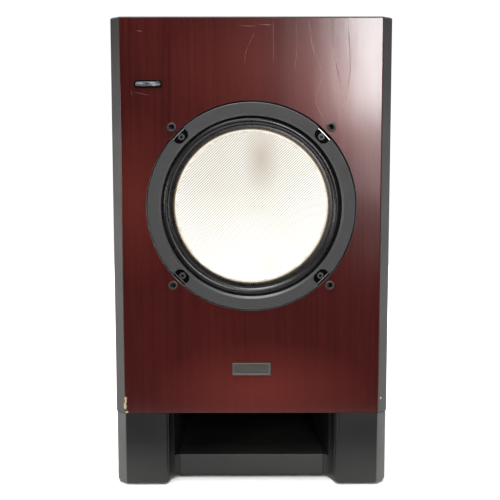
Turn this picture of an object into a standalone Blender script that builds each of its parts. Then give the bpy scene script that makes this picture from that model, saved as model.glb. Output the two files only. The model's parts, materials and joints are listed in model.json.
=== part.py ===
"""Powered subwoofer: veneered cabinet, slotted plinth, 20 cm woofer in front and amplifier panel behind.

Lengths are metres. +Z is up, the front faces -Y, and the origin is on the floor, under the middle.
"""

import math

import bmesh
import bpy
from mathutils import Matrix, Vector

# Driving dimensions of the whole object.
WIDTH = 0.274
HEIGHT = 0.465
DEPTH = 0.404
BASE_HEIGHT = 0.075
PROUD = 0.001  # how far the trim ring and the badges stand out of the front
REAR_FITTINGS = 0.016  # how far the knobs stand out of the back
GAP = 0.0003  # clearance between pieces that touch

# Cabinet.
FACE_Y = -DEPTH / 2 + PROUD
BACK_Y = DEPTH / 2 - REAR_FITTINGS
CHAMFER = 0.010
BAFFLE_THICKNESS = 0.025
PANEL_THICKNESS = 0.018
BRACE_THICKNESS = 0.015
INNER_HALF_WIDTH = WIDTH / 2 - PANEL_THICKNESS
INNER_FLOOR = BASE_HEIGHT + PANEL_THICKNESS
INNER_CEILING = HEIGHT - PANEL_THICKNESS
PANEL_FRONT_Y = FACE_Y + BAFFLE_THICKNESS + GAP

# Plinth.
BASE_HALF_WIDTH = WIDTH / 2 - 0.0007
BASE_BACK_Y = BACK_Y - 0.004
BASE_BOTTOM = 0.001
FOOT_INNER_X = 0.084
SLOT_HALF_WIDTH = 0.0735
SLOT_RECESS = 0.023
SLOT_FLOOR_TOP = 0.025
PAD_RADIUS = 0.012
PAD_THICKNESS = 0.003
PAD_X = 0.105
PAD_INSET_Y = 0.045
BASE_SCREW_INSET_Y = 0.090
BASE_SCREW_RADIUS = 0.0028
BASE_SCREW_HEAD_RADIUS = 0.006
BASE_SCREW_SEAT = 0.035

# Slot duct inside the cabinet.
DUCT_HALF_WIDTH = 0.060
DUCT_FRONT_Y = -0.030
DUCT_BACK_Y = 0.022
DUCT_WALL = 0.003
DUCT_LENGTH = 0.120

# Woofer. Depths along its axis are measured back from the face of the baffle.
DRIVER_Z = 0.282
REBATE_RADIUS = 0.1032
REBATE_DEPTH = 0.0085
CUTOUT_RADIUS = 0.0925
RING_OUTER = 0.1018
RING_INNER = 0.0888
FLANGE_OUTER = 0.1010
FLANGE_FRONT = 0.0028
FLANGE_BACK = 0.0062
LANDING_RADIUS = 0.0895
LANDING_DEPTH = 0.0078
SCREW_RADIUS = 0.0962  # of the circle that the woofer's screws stand on
SCREW_OFFSET = SCREW_RADIUS * math.sqrt(0.5)
ROLL_MIDDLE = 0.0843
ROLL_HALF_WIDTH = 0.0043
ROLL_BASE = 0.0070
ROLL_HEIGHT = 0.0050
RUBBER = 0.0009
SURROUND_INNER = 0.0718
CONE_RADIUS = 0.0757
CONE_RIM = 0.0725  # where the dish ends and its flat rim begins
CONE_EDGE_DEPTH = 0.0060
CONE_DISH = 0.024
CONE_THICKNESS = 0.0009
FORMER_RADIUS = 0.0192
COIL_OUTER = 0.0203
SPIDER_DEPTH = 0.0520
PLATE_DEPTH = 0.0780
PLATE_THICKNESS = 0.0080
MAGNET_RADIUS = 0.060
MAGNET_LENGTH = 0.020
PLATE_RADIUS = 0.050

# Front trim.
SOCKET_OFFSET = 0.0775
SOCKET_RADIUS = 0.0045
SOCKET_BORE = 0.0030
SOCKET_DEPTH = 0.013
BADGE_SIZE = (0.038, 0.0126)
BADGE_Z = 0.1200
SLIM_BADGE_SIZE = (0.0273, 0.0074)
SLIM_BADGE_CENTRE = (-0.1000, 0.4010)

# Amplifier panel.
AMP_HALF_WIDTH = 0.090
AMP_BOTTOM = 0.125
AMP_TOP = 0.400
AMP_PLATE = 0.002
AMP_MARGIN = 0.010  # overlap of the plate on the rear panel
AMP_FACE_Y = BACK_Y + GAP + AMP_PLATE
KNOB_RADIUS = 0.0100
KNOB_Z = 0.365
LEVEL_X = 0.050
CUTOFF_X = 0.005
PHASE_X = -0.045
JACK_Z = 0.315
JACK_XS = (0.050, 0.028)
HEAT_SINK_BOTTOM = 0.205
HEAT_SINK_TOP = 0.285
HEAT_SINK_HALF_WIDTH = 0.070
POWER_Z = 0.165
BUSH_RADIUS = 0.0034
BUSH_BORE = 0.0028
ROCKER_TIP = 7  # degrees
PHASE_TRAVEL = 0.0052
BOARD_STANDOFF = 0.034
ROCKER_X = 0.050
INLET_X = -0.045

FINE = 48  # sides of the largest rings
MIDDLE = 28
SMALL = 16


# ---------------------------------------------------------------- modelling helpers


def material(name, colour, roughness, metallic=0.0):
    made = bpy.data.materials.new(name)
    made.use_nodes = True
    shader = made.node_tree.nodes["Principled BSDF"]
    shader.inputs["Base Color"].default_value = (*colour, 1.0)
    shader.inputs["Roughness"].default_value = roughness
    shader.inputs["Metallic"].default_value = metallic
    return made


def add_object(name, shape, finish, origin=(0, 0, 0), parent=None, smooth=False):
    """Turns a bmesh into a named object whose faces point out."""
    bmesh.ops.recalc_face_normals(shape, faces=shape.faces)
    mesh = bpy.data.meshes.new(name)
    shape.to_mesh(mesh)
    shape.free()
    if smooth:
        mesh.shade_smooth()
        mesh.set_sharp_from_angle(angle=math.radians(35))
    obj = bpy.data.objects.new(name, mesh)
    bpy.context.scene.collection.objects.link(obj)
    obj.location = origin
    obj.parent = parent
    if finish:
        mesh.materials.append(finish)
    return obj


def empty(name, location):
    made = bpy.data.objects.new(name, None)
    bpy.context.scene.collection.objects.link(made)
    made.location = location
    return made


def point_on(axis, u, v, along):
    """A point whose cross-section coordinates are u, v and whose place along the axis is along."""
    return {"X": (along, u, v), "Y": (u, along, v), "Z": (u, v, along)}[axis]


def prism(shape, outline, axis, start, end):
    """Adds a straight solid of the given outline, between two places along an axis."""
    face = shape.faces.new([shape.verts.new(point_on(axis, u, v, start)) for u, v in outline])
    moved = bmesh.ops.extrude_face_region(shape, geom=[face])["geom"]
    verts = [v for v in moved if isinstance(v, bmesh.types.BMVert)]
    bmesh.ops.translate(shape, verts=verts, vec=Vector(point_on(axis, 0, 0, end - start)))
    return verts


def box(shape, low, high):
    outline = [(low[0], low[1]), (high[0], low[1]), (high[0], high[1]), (low[0], high[1])]
    prism(shape, outline, "Z", low[2], high[2])


def circle(radius, sides, centre=(0, 0)):
    turns = [2 * math.pi * k / sides for k in range(sides)]
    return [(centre[0] + radius * math.cos(a), centre[1] + radius * math.sin(a)) for a in turns]


def rod(shape, centre, radius, axis, start, end, sides=SMALL):
    prism(shape, circle(radius, sides, centre), axis, start, end)


def rounded(width, height, radius, steps=4, centre=(0, 0)):
    """A rectangle with round corners, anticlockwise."""
    points = []
    for quarter, (sx, sy) in enumerate(((1, 1), (-1, 1), (-1, -1), (1, -1))):
        middle = (centre[0] + sx * (width / 2 - radius), centre[1] + sy * (height / 2 - radius))
        for k in range(steps + 1):
            a = math.pi / 2 * (quarter + k / steps)
            points.append((middle[0] + radius * math.cos(a), middle[1] + radius * math.sin(a)))
    return points


def lathe(shape, profile, sides, axis="Y", centre=(0, 0), closed=True):
    """Turns a profile of (radius, place along the axis). An open profile starts and ends on the axis."""
    verts = [shape.verts.new(point_on(axis, r + centre[0], centre[1], s)) for r, s in profile]
    pairs = list(zip(verts, verts[1:] + verts[:1] if closed else verts[1:]))
    edges = [shape.edges.new(pair) for pair in pairs]
    before = set(shape.verts) - set(verts)
    direction = point_on(axis, 0, 0, 1)
    bmesh.ops.spin(
        shape,
        geom=verts + edges,
        cent=point_on(axis, *centre, 0),
        axis=direction,
        angle=2 * math.pi,
        steps=sides,
        use_merge=True,
    )
    made = [v for v in shape.verts if v not in before]
    bmesh.ops.remove_doubles(shape, verts=made, dist=1e-6)


def add_copies(name, shape, finish, places, parent=None):
    """One object for each place, all sharing a mesh that is modelled about its own origin."""
    first = add_object(name + "_1", shape, finish, places[0], parent)
    for number, place in enumerate(places[1:], 2):
        copy = bpy.data.objects.new(f"{name}_{number}", first.data)
        bpy.context.scene.collection.objects.link(copy)
        copy.location = place
        copy.parent = parent


def stack(shape, rings, axis="Y"):
    """Adds a solid through outlines with equal numbers of points, each at its place along the axis."""
    loops = [[shape.verts.new(point_on(axis, u, v, along)) for u, v in outline] for outline, along in rings]
    for low, high in zip(loops, loops[1:]):
        for k in range(len(low)):
            shape.faces.new((low[k - 1], low[k], high[k], high[k - 1]))
    shape.faces.new(loops[0])
    shape.faces.new(reversed(loops[-1]))


def cutter(name, shape, origin=(0, 0, 0), parent=None):
    made = add_object(name, shape, None, origin, parent)
    made.hide_render = True
    made.display_type = "WIRE"
    return made


def combine(target, tool, operation):
    change = target.modifiers.new(f"{operation.lower()} {tool.name}", "BOOLEAN")
    change.operation = operation
    change.solver = "EXACT"
    change.use_self = True
    change.object = tool


def subtract(target, tool):
    combine(target, tool, "DIFFERENCE")


def join(target, tool):
    combine(target, tool, "UNION")


def tube_object(name, points, radius, finish, parent=None):
    """A wire or lead that follows a smooth curve through a few points."""
    curve = bpy.data.curves.new(name, "CURVE")
    curve.dimensions = "3D"
    curve.bevel_depth = radius
    curve.bevel_resolution = 2
    curve.use_fill_caps = True
    for line in points:
        path = smooth_path(line, spacing=6 * radius)
        spline = curve.splines.new("POLY")
        spline.points.add(len(path) - 1)
        for dot, place in zip(spline.points, path):
            dot.co = (*place, 1.0)
    curve.materials.append(finish)
    obj = bpy.data.objects.new(name, curve)
    bpy.context.scene.collection.objects.link(obj)
    obj.parent = parent
    return obj


def smooth_path(points, spacing):
    """Evenly spaced points of a Catmull-Rom curve through the given ones."""
    points = [Vector(p) for p in points]
    padded = [2 * points[0] - points[1], *points, 2 * points[-1] - points[-2]]
    path = [points[0]]
    for a, b, c, d in zip(padded, padded[1:], padded[2:], padded[3:]):
        count = max(1, round((c - b).length / spacing))
        for k in range(1, count + 1):
            t = k / count
            path.append(
                0.5
                * (
                    2 * b
                    + (c - a) * t
                    + (2 * a - 5 * b + 4 * c - d) * t**2
                    + (3 * b - a - 3 * c + d) * t**3
                )
            )
    return path


def diagonals(offset):
    """The four corners of a square around the woofer's axis."""
    return [(sx * offset, sz * offset) for sx in (-1, 1) for sz in (-1, 1)]


# ---------------------------------------------------------------- cabinet


def front_baffle(finish):
    half = WIDTH / 2
    back = FACE_Y + BAFFLE_THICKNESS
    outline = [
        (-half, back),
        (-half, FACE_Y + CHAMFER),
        (-half + CHAMFER, FACE_Y),
        (half - CHAMFER, FACE_Y),
        (half, FACE_Y + CHAMFER),
        (half, back),
    ]
    shape = bmesh.new()
    prism(shape, outline, "Z", BASE_HEIGHT, HEIGHT)
    board = add_object("front_baffle", shape, finish)

    tools = bmesh.new()
    past = 0.002
    lathe(
        tools,
        [
            (0, -past),
            (REBATE_RADIUS, -past),
            (REBATE_RADIUS, REBATE_DEPTH),
            (CUTOUT_RADIUS, REBATE_DEPTH),
            (CUTOUT_RADIUS, BAFFLE_THICKNESS + past),
            (0, BAFFLE_THICKNESS + past),
        ],
        FINE,
        closed=False,
    )
    for place in diagonals(SOCKET_OFFSET):
        rod(tools, place, SOCKET_RADIUS - 0.0008, "Y", -past, SOCKET_DEPTH + GAP)
    for place in diagonals(SCREW_OFFSET):
        rod(tools, place, 0.0023, "Y", REBATE_DEPTH - past, 0.021, 12)
    subtract(board, cutter("baffle_cutter", tools, (0, FACE_Y, DRIVER_Z)))


def cabinet_panels(finish):
    """Four boards with mitred corners round the inside, and the rear panel between them."""
    half, inner, mitre = WIDTH / 2, INNER_HALF_WIDTH, GAP * math.sqrt(0.5)
    for name, side in (("left_side_panel", -1), ("right_side_panel", 1)):
        outline = [
            (side * half, BASE_HEIGHT + mitre),
            (side * half, HEIGHT - mitre),
            (side * inner, INNER_CEILING - mitre),
            (side * inner, INNER_FLOOR + mitre),
        ]
        shape = bmesh.new()
        prism(shape, outline, "Y", PANEL_FRONT_Y, BACK_Y)
        add_object(name, shape, finish)
    for name, outer_z, inner_z in (
        ("top_panel", HEIGHT, INNER_CEILING),
        ("bottom_panel", BASE_HEIGHT, INNER_FLOOR),
    ):
        outline = [
            (-half + mitre, outer_z),
            (half - mitre, outer_z),
            (inner - mitre, inner_z),
            (-inner + mitre, inner_z),
        ]
        shape = bmesh.new()
        prism(shape, outline, "Y", PANEL_FRONT_Y, BACK_Y)
        panel = add_object(name, shape, finish)
        if name == "bottom_panel":
            subtract(panel, bottom_panel_cutter())


def bottom_panel_cutter():
    """The slot duct's mouth, and pilot holes for the screws that hold the plinth."""
    tools = bmesh.new()
    box(
        tools,
        (-DUCT_HALF_WIDTH, DUCT_FRONT_Y, BASE_HEIGHT - 0.01),
        (DUCT_HALF_WIDTH, DUCT_BACK_Y, INNER_FLOOR + 0.01),
    )
    for place in base_screw_places():
        rod(tools, place, BASE_SCREW_RADIUS, "Z", BASE_HEIGHT - 0.005, BASE_HEIGHT + 0.015, 12)
    return cutter("bottom_panel_cutter", tools)


def rear_panel(finish):
    shape = bmesh.new()
    box(
        shape,
        (-INNER_HALF_WIDTH + GAP, BACK_Y - PANEL_THICKNESS, INNER_FLOOR + GAP),
        (INNER_HALF_WIDTH - GAP, BACK_Y, INNER_CEILING - GAP),
    )
    panel = add_object("rear_panel", shape, finish)
    tools = bmesh.new()
    box(
        tools,
        (-AMP_HALF_WIDTH + AMP_MARGIN, BACK_Y - 0.03, AMP_BOTTOM + AMP_MARGIN),
        (AMP_HALF_WIDTH - AMP_MARGIN, BACK_Y + 0.01, AMP_TOP - AMP_MARGIN),
    )
    for x, z in amp_screw_places():
        rod(tools, (x, z), 0.0019, "Y", BACK_Y - 0.012, BACK_Y + 0.01, 12)
    subtract(panel, cutter("rear_panel_cutter", tools))


def window_brace(finish):
    """A frame glued across the inside, behind the woofer, that stiffens the side walls."""
    low, rail = 0.055, 0.035
    shape = bmesh.new()
    box(
        shape,
        (-INNER_HALF_WIDTH + GAP, low, INNER_FLOOR + GAP),
        (INNER_HALF_WIDTH - GAP, low + BRACE_THICKNESS, INNER_CEILING - GAP),
    )
    brace = add_object("window_brace", shape, finish)
    window = bmesh.new()
    box(
        window,
        (-INNER_HALF_WIDTH + rail, low - 0.01, INNER_FLOOR + rail),
        (INNER_HALF_WIDTH - rail, low + BRACE_THICKNESS + 0.01, INNER_CEILING - rail),
    )
    subtract(brace, cutter("brace_cutter", window))


def slot_duct(finish):
    """The reflex duct: a rectangular tube that stands on the bottom panel over its slot."""
    low, high = INNER_FLOOR + GAP, INNER_FLOOR + GAP + DUCT_LENGTH
    shape = bmesh.new()
    box(
        shape,
        (-DUCT_HALF_WIDTH - DUCT_WALL, DUCT_FRONT_Y - DUCT_WALL, low),
        (DUCT_HALF_WIDTH + DUCT_WALL, DUCT_BACK_Y + DUCT_WALL, high),
    )
    duct = add_object("slot_duct", shape, finish)
    bore = bmesh.new()
    box(
        bore,
        (-DUCT_HALF_WIDTH, DUCT_FRONT_Y, low - 0.01),
        (DUCT_HALF_WIDTH, DUCT_BACK_Y, high + 0.01),
    )
    subtract(duct, cutter("duct_cutter", bore))


def damping_mat(finish):
    """One length of wadding that lines the side walls and the ceiling."""
    thick, front, back, low = 0.012, -0.080, 0.050, 0.120
    side, top = INNER_HALF_WIDTH - GAP, INNER_CEILING - GAP
    outline = [(-side, low), (-side, top), (side, top), (side, low)]
    inner, ceiling = side - thick, top - thick
    outline += [(inner, low), (inner, ceiling), (-inner, ceiling), (-inner, low)]
    shape = bmesh.new()
    prism(shape, outline, "Y", front, back)
    add_object("damping_mat", shape, finish)


# ---------------------------------------------------------------- plinth


def base_screw_rows():
    return (FACE_Y + BASE_SCREW_INSET_Y, BASE_BACK_Y - BASE_SCREW_INSET_Y)


def base_screw_places():
    return [(sx * PAD_X, y) for sx in (-1, 1) for y in base_screw_rows()]


def pad_places():
    return [(sx * PAD_X, y) for sx in (-1, 1) for y in (FACE_Y + PAD_INSET_Y, BASE_BACK_Y - PAD_INSET_Y)]


def foot_block(name, side, finish):
    """One side of the plinth: chamfered outside like the cabinet, and slanting in behind its front."""
    corner = FACE_Y + CHAMFER
    outline = [
        (side * BASE_HALF_WIDTH, BASE_BACK_Y),
        (side * BASE_HALF_WIDTH, corner),
        (side * (BASE_HALF_WIDTH - CHAMFER), FACE_Y),
        (side * FOOT_INNER_X, FACE_Y),
        (side * SLOT_HALF_WIDTH, FACE_Y + SLOT_RECESS),
        (side * SLOT_HALF_WIDTH, BASE_BACK_Y),
    ]
    shape = bmesh.new()
    prism(shape, outline, "Z", BASE_BOTTOM, BASE_HEIGHT - GAP)
    lowest = [e for e in shape.edges if all(v.co.z < BASE_BOTTOM + 1e-6 for v in e.verts)]
    bmesh.ops.bevel(shape, geom=lowest, offset=0.006, segments=3, profile=0.5, affect="EDGES")
    block = add_object(name, shape, finish)
    tools = bmesh.new()
    for x, y in pad_places():
        if x * side > 0:
            recess = BASE_BOTTOM + PAD_THICKNESS - 0.001 + GAP
            rod(tools, (x, y), PAD_RADIUS + GAP, "Z", -0.01, recess, 24)
    for x, y in base_screw_places():
        if x * side > 0:
            rod(tools, (x, y), BASE_SCREW_HEAD_RADIUS, "Z", -0.01, BASE_SCREW_SEAT)
            rod(tools, (x, y), BASE_SCREW_RADIUS, "Z", BASE_SCREW_SEAT - 0.001, BASE_HEIGHT + 0.015)
    subtract(block, cutter(name + "_cutter", tools))


def slot_boards(finish):
    """The floor of the slot, whose front edge shows as a lip, and the board that closes the slot behind."""
    half = SLOT_HALF_WIDTH - GAP
    shape = bmesh.new()
    box(shape, (-half, FACE_Y + SLOT_RECESS, BASE_BOTTOM), (half, BASE_BACK_Y, SLOT_FLOOR_TOP))
    add_object("slot_floor", shape, finish)
    shape = bmesh.new()
    box(
        shape,
        (-half, BASE_BACK_Y - PANEL_THICKNESS, SLOT_FLOOR_TOP + GAP),
        (half, BASE_BACK_Y, BASE_HEIGHT - GAP),
    )
    add_object("slot_back", shape, finish)


def rubber_pads(finish):
    shape = bmesh.new()
    rod(shape, (0, 0), PAD_RADIUS, "Z", 0, PAD_THICKNESS, 24)
    add_copies("rubber_pad", shape, finish, [(x, y, 0) for x, y in pad_places()])


# ---------------------------------------------------------------- front trim


def grille_sockets(finish):
    """Rubber cups that take the grille's pegs."""
    stem = SOCKET_RADIUS - 0.0008 - GAP
    profile = [
        (0, SOCKET_DEPTH - 0.001),
        (SOCKET_BORE, SOCKET_DEPTH - 0.001),
        (SOCKET_BORE, -0.0003),
        (SOCKET_BORE + 0.0004, -0.0008),
        (SOCKET_RADIUS, -0.0006),
        (SOCKET_RADIUS, -GAP),
        (stem, -GAP),
        (stem, SOCKET_DEPTH),
        (0, SOCKET_DEPTH),
    ]
    shape = bmesh.new()
    lathe(shape, profile, 16, closed=False)
    places = [(x, FACE_Y, DRIVER_Z + z) for x, z in diagonals(SOCKET_OFFSET)]
    add_copies("grille_socket", shape, finish, places)


def badges(plate_finish, slim_finish):
    """Blank plates stuck on the front: a rectangle below the woofer, and a slim round-ended one above."""
    shape = bmesh.new()
    prism(shape, rounded(*BADGE_SIZE, 0.0006, 2, (0, BADGE_Z)), "Y", FACE_Y - PROUD, FACE_Y - GAP)
    add_object("lower_badge", shape, plate_finish)
    width, height = SLIM_BADGE_SIZE
    shape = bmesh.new()
    outline = rounded(width, height, height * 0.45, 5, SLIM_BADGE_CENTRE)
    prism(shape, outline, "Y", FACE_Y - PROUD, FACE_Y - GAP)
    add_object("slim_badge", shape, slim_finish)


# ---------------------------------------------------------------- woofer


def trim_ring(finish, axis):
    """The ring over the basket's flange, with four bays that leave the screws free."""
    shape = bmesh.new()
    round_over = 0.0008
    profile = [
        (RING_INNER, 0.0025),
        (RING_INNER, -PROUD + round_over),
        (RING_INNER + round_over, -PROUD),
        (RING_OUTER - round_over, -PROUD),
        (RING_OUTER, -PROUD + round_over),
        (RING_OUTER, 0.0025),
    ]
    lathe(shape, profile, FINE)
    ring = add_object("trim_ring", shape, finish, parent=axis, smooth=True)
    tools = bmesh.new()
    for quarter in range(4):
        bay = [
            (0.0917, -0.0040),
            (0.0917, 0.0040),
            (0.0932, 0.0062),
            (0.0958, 0.0078),
            (0.1060, 0.0078),
            (0.1060, -0.0078),
            (0.0958, -0.0078),
            (0.0932, -0.0062),
        ]
        turn = math.pi / 4 + quarter * math.pi / 2
        outline = [
            (u * math.cos(turn) - v * math.sin(turn), u * math.sin(turn) + v * math.cos(turn))
            for u, v in bay
        ]
        prism(tools, outline, "Y", -0.005, 0.010)
    subtract(ring, cutter("ring_cutter", tools, parent=axis))


def driver_basket(finish, axis):
    """Pressed frame: flange, landing for the surround, six windows, spider shelf and magnet seat."""
    wall = 0.0022
    profile = [
        (FLANGE_OUTER, FLANGE_FRONT),
        (LANDING_RADIUS, FLANGE_FRONT),
        (LANDING_RADIUS, LANDING_DEPTH),
        (0.0850, LANDING_DEPTH),
        (0.0840, 0.0110),
        (0.0680, 0.0535),
        (0.0570, 0.0535),
        (0.0540, 0.0753),
        (0.0230, 0.0753),
        (0.0230, 0.0777),
        (0.0562, 0.0777),
        (0.0590, 0.0557),
        (0.0696, 0.0557),
        (0.0863, 0.0118),
        (0.0863, 0.0100),
        (LANDING_RADIUS + wall, 0.0100),
        (LANDING_RADIUS + wall, FLANGE_BACK),
        (FLANGE_OUTER, FLANGE_BACK),
    ]
    shape = bmesh.new()
    lathe(shape, profile, MIDDLE)
    basket = add_object("driver_basket", shape, finish, parent=axis)
    tools = bmesh.new()
    for k in range(6):
        turn = math.pi / 6 + k * math.pi / 3
        across, out = 0.026, 0.110
        outline = [
            (u * math.cos(turn) - v * math.sin(turn), u * math.sin(turn) + v * math.cos(turn))
            for u, v in ((0.052, -across * 0.6), (out, -across), (out, across), (0.052, across * 0.6))
        ]
        prism(tools, outline, "Y", 0.0165, 0.0480)
    for place in diagonals(SCREW_OFFSET):
        rod(tools, place, 0.0025, "Y", -0.002, 0.012, 12)
    subtract(basket, cutter("basket_cutter", tools, parent=axis))


def driver_gasket(finish, axis):
    shape = bmesh.new()
    profile = [(0.0925, 0.0065), (0.1008, 0.0065), (0.1008, 0.0082), (0.0925, 0.0082)]
    lathe(shape, profile, MIDDLE)
    gasket = add_object("driver_gasket", shape, finish, parent=axis)
    tools = bmesh.new()
    for place in diagonals(SCREW_OFFSET):
        rod(tools, place, 0.0026, "Y", 0.002, 0.015, 12)
    subtract(gasket, cutter("gasket_cutter", tools, parent=axis))


def driver_screws(finish, axis):
    """Cap screws with a hexagon socket, one in each bay of the trim ring."""
    profile = [
        (0, 0.0010),
        (0.0017, 0.0010),
        (0.0017, -0.0008),
        (0.0032, -0.0008),
        (0.0036, -0.0004),
        (0.0036, 0.0025),
        (0.0020, 0.0025),
        (0.0020, 0.0195),
        (0, 0.0205),
    ]
    shape = bmesh.new()
    lathe(shape, profile, 12, closed=False)
    places = [(x, 0, z) for x, z in diagonals(SCREW_OFFSET)]
    add_copies("driver_screw", shape, finish, places, axis)


def surround(finish, axis):
    """Half-roll rubber edge between the basket's landing and the rim of the cone."""
    steps = 6
    outer, inner = [], []
    for k in range(steps + 1):
        a = math.pi * k / steps
        outer.append(
            (
                ROLL_MIDDLE + ROLL_HALF_WIDTH * math.cos(a),
                ROLL_BASE - ROLL_HEIGHT * math.sin(a),
            )
        )
        inner.append(
            (
                ROLL_MIDDLE + (ROLL_HALF_WIDTH - RUBBER) * math.cos(a),
                ROLL_BASE - (ROLL_HEIGHT - RUBBER) * math.sin(a),
            )
        )
    front = [*outer, (SURROUND_INNER, ROLL_BASE)]
    back = [(SURROUND_INNER, ROLL_BASE + RUBBER)]
    inner[0] = (inner[0][0], ROLL_BASE + RUBBER / 2)
    inner[-1] = (inner[-1][0], ROLL_BASE + RUBBER)
    back += [*reversed(inner), (ROLL_MIDDLE + ROLL_HALF_WIDTH, ROLL_BASE + RUBBER / 2)]
    shape = bmesh.new()
    lathe(shape, front + back, 40)
    add_object("surround", shape, finish, parent=axis, smooth=True)


def dish_depth(radius):
    """Depth of the front of the cone: a shallow dish with a narrow flat rim."""
    share = min(radius / CONE_RIM, 1.0)
    return CONE_EDGE_DEPTH - CONE_THICKNESS + CONE_DISH * (1 - share**2)


def cone(finish, axis):
    """One-piece woven dish, with no dust cap."""
    radii = [0, 0.014, 0.028, 0.042, 0.054, 0.064, CONE_RIM, CONE_RADIUS]
    front = [(r, dish_depth(r)) for r in radii]
    back = [(r, dish_depth(r) + CONE_THICKNESS) for r in reversed(radii)]
    shape = bmesh.new()
    lathe(shape, front + back, 40, closed=False)
    add_object("cone", shape, finish, parent=axis, smooth=True)


def coil_former(finish, axis):
    wall = 0.0003
    top = dish_depth(FORMER_RADIUS) + CONE_THICKNESS + 0.0008
    shape = bmesh.new()
    profile = [
        (FORMER_RADIUS, top),
        (FORMER_RADIUS + wall, top),
        (FORMER_RADIUS + wall, 0.0910),
        (FORMER_RADIUS, 0.0910),
    ]
    lathe(shape, profile, MIDDLE)
    add_object("coil_former", shape, finish, parent=axis)


def voice_coil(finish, axis):
    shape = bmesh.new()
    inner = FORMER_RADIUS + 0.0006
    profile = [(inner, 0.0740), (COIL_OUTER, 0.0740), (COIL_OUTER, 0.0900), (inner, 0.0900)]
    lathe(shape, profile, MIDDLE)
    add_object("voice_coil", shape, finish, parent=axis)


def spider(finish, axis):
    """Corrugated cloth disc that centres the coil."""
    inner, outer, waves, per_wave = FORMER_RADIUS + 0.0007, 0.0660, 2, 4
    count = waves * per_wave
    line = []
    for k in range(count + 1):
        radius = inner + (outer - 0.006 - inner) * k / count
        line.append((radius, SPIDER_DEPTH + 0.0016 * math.sin(2 * math.pi * k / per_wave)))
    line.append((outer, SPIDER_DEPTH))
    back = [(r, s + 0.0007) for r, s in reversed(line)]
    shape = bmesh.new()
    lathe(shape, line + back, 32)
    add_object("spider", shape, finish, parent=axis, smooth=True)


def magnet_system(steel, ferrite, axis):
    """Top plate, ring magnet, and a yoke of back plate and vented pole."""
    low, high = PLATE_DEPTH, PLATE_DEPTH + PLATE_THICKNESS
    shape = bmesh.new()
    lathe(shape, [(0.0211, low), (PLATE_RADIUS, low), (PLATE_RADIUS, high), (0.0211, high)], MIDDLE)
    add_object("top_plate", shape, steel, parent=axis)
    low, high = high + GAP, high + GAP + MAGNET_LENGTH
    shape = bmesh.new()
    lathe(shape, [(0.0280, low), (MAGNET_RADIUS, low), (MAGNET_RADIUS, high), (0.0280, high)], MIDDLE)
    add_object("magnet", shape, ferrite, parent=axis)
    back, end, pole, vent = high + GAP, high + GAP + 0.006, 0.0183, 0.006
    profile = [
        (vent, PLATE_DEPTH),
        (pole, PLATE_DEPTH),
        (pole, back),
        (PLATE_RADIUS, back),
        (PLATE_RADIUS, end),
        (vent, end),
    ]
    shape = bmesh.new()
    lathe(shape, profile, MIDDLE)
    add_object("yoke", shape, steel, parent=axis)


def terminal_strip(finish, axis):
    """Insulating strip on the basket, with a solder tag at each end."""
    shape = bmesh.new()
    box(shape, (-0.014, 0.0700, -0.0710), (0.014, 0.0725, -0.0580))
    strip = add_object("terminal_strip", shape, finish, parent=axis)
    tags = bmesh.new()
    for side in (-1, 1):
        xs = sorted((side * 0.007, side * 0.010))
        box(tags, (xs[0], 0.0640, -0.0655), (xs[1], 0.0745, -0.0645))
    join(strip, cutter("strip_tags", tags, parent=axis))


def woofer(finishes):
    axis = empty("driver_axis", (0, FACE_Y, DRIVER_Z))
    trim_ring(finishes["textured_plastic"], axis)
    driver_basket(finishes["black_steel"], axis)
    driver_gasket(finishes["rubber"], axis)
    driver_screws(finishes["black_steel"], axis)
    surround(finishes["rubber"], axis)
    cone(finishes["woven_fibre"], axis)
    coil_former(finishes["aluminium"], axis)
    voice_coil(finishes["copper"], axis)
    spider(finishes["cloth"], axis)
    magnet_system(finishes["steel"], finishes["ferrite"], axis)
    terminal_strip(finishes["board"], axis)


# ---------------------------------------------------------------- amplifier


def amp_screw_places():
    x = AMP_HALF_WIDTH - AMP_MARGIN / 2
    low, high = AMP_BOTTOM + AMP_MARGIN / 2, AMP_TOP - AMP_MARGIN / 2
    return [(sx * x, z) for sx in (-1, 1) for z in (low, (low + high) / 2, high)]


def amp_plate(finish):
    shape = bmesh.new()
    middle = (0, (AMP_BOTTOM + AMP_TOP) / 2)
    outline = rounded(2 * AMP_HALF_WIDTH, AMP_TOP - AMP_BOTTOM, 0.004, 3, middle)
    prism(shape, outline, "Y", BACK_Y + GAP, AMP_FACE_Y)
    plate = add_object("amp_plate", shape, finish)
    tools = bmesh.new()
    low, high = BACK_Y - 0.01, BACK_Y + 0.01
    for x in (LEVEL_X, CUTOFF_X):
        rod(tools, (x, KNOB_Z), 0.0036, "Y", low, high)
    for x in JACK_XS:
        rod(tools, (x, JACK_Z), 0.0052, "Y", low, high)
    for x, z in amp_screw_places():
        rod(tools, (x, z), 0.0019, "Y", low, high, 12)
    box(tools, (PHASE_X - 0.0065, low, KNOB_Z - 0.0032), (PHASE_X + 0.0065, high, KNOB_Z + 0.0032))
    box(tools, (ROCKER_X - 0.0068, low, POWER_Z - 0.0098), (ROCKER_X + 0.0068, high, POWER_Z + 0.0098))
    box(tools, (INLET_X - 0.0113, low, POWER_Z - 0.0078), (INLET_X + 0.0113, high, POWER_Z + 0.0078))
    subtract(plate, cutter("plate_cutter", tools))


def amp_screws(finish):
    profile = [(0, 0.0018), (0.0022, 0.0016), (0.0032, 0), (0.0015, 0), (0.0015, -0.011), (0, -0.012)]
    shape = bmesh.new()
    lathe(shape, profile, 12, closed=False)
    add_copies("amp_screw", shape, finish, [(x, AMP_FACE_Y + GAP, z) for x, z in amp_screw_places()])


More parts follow.
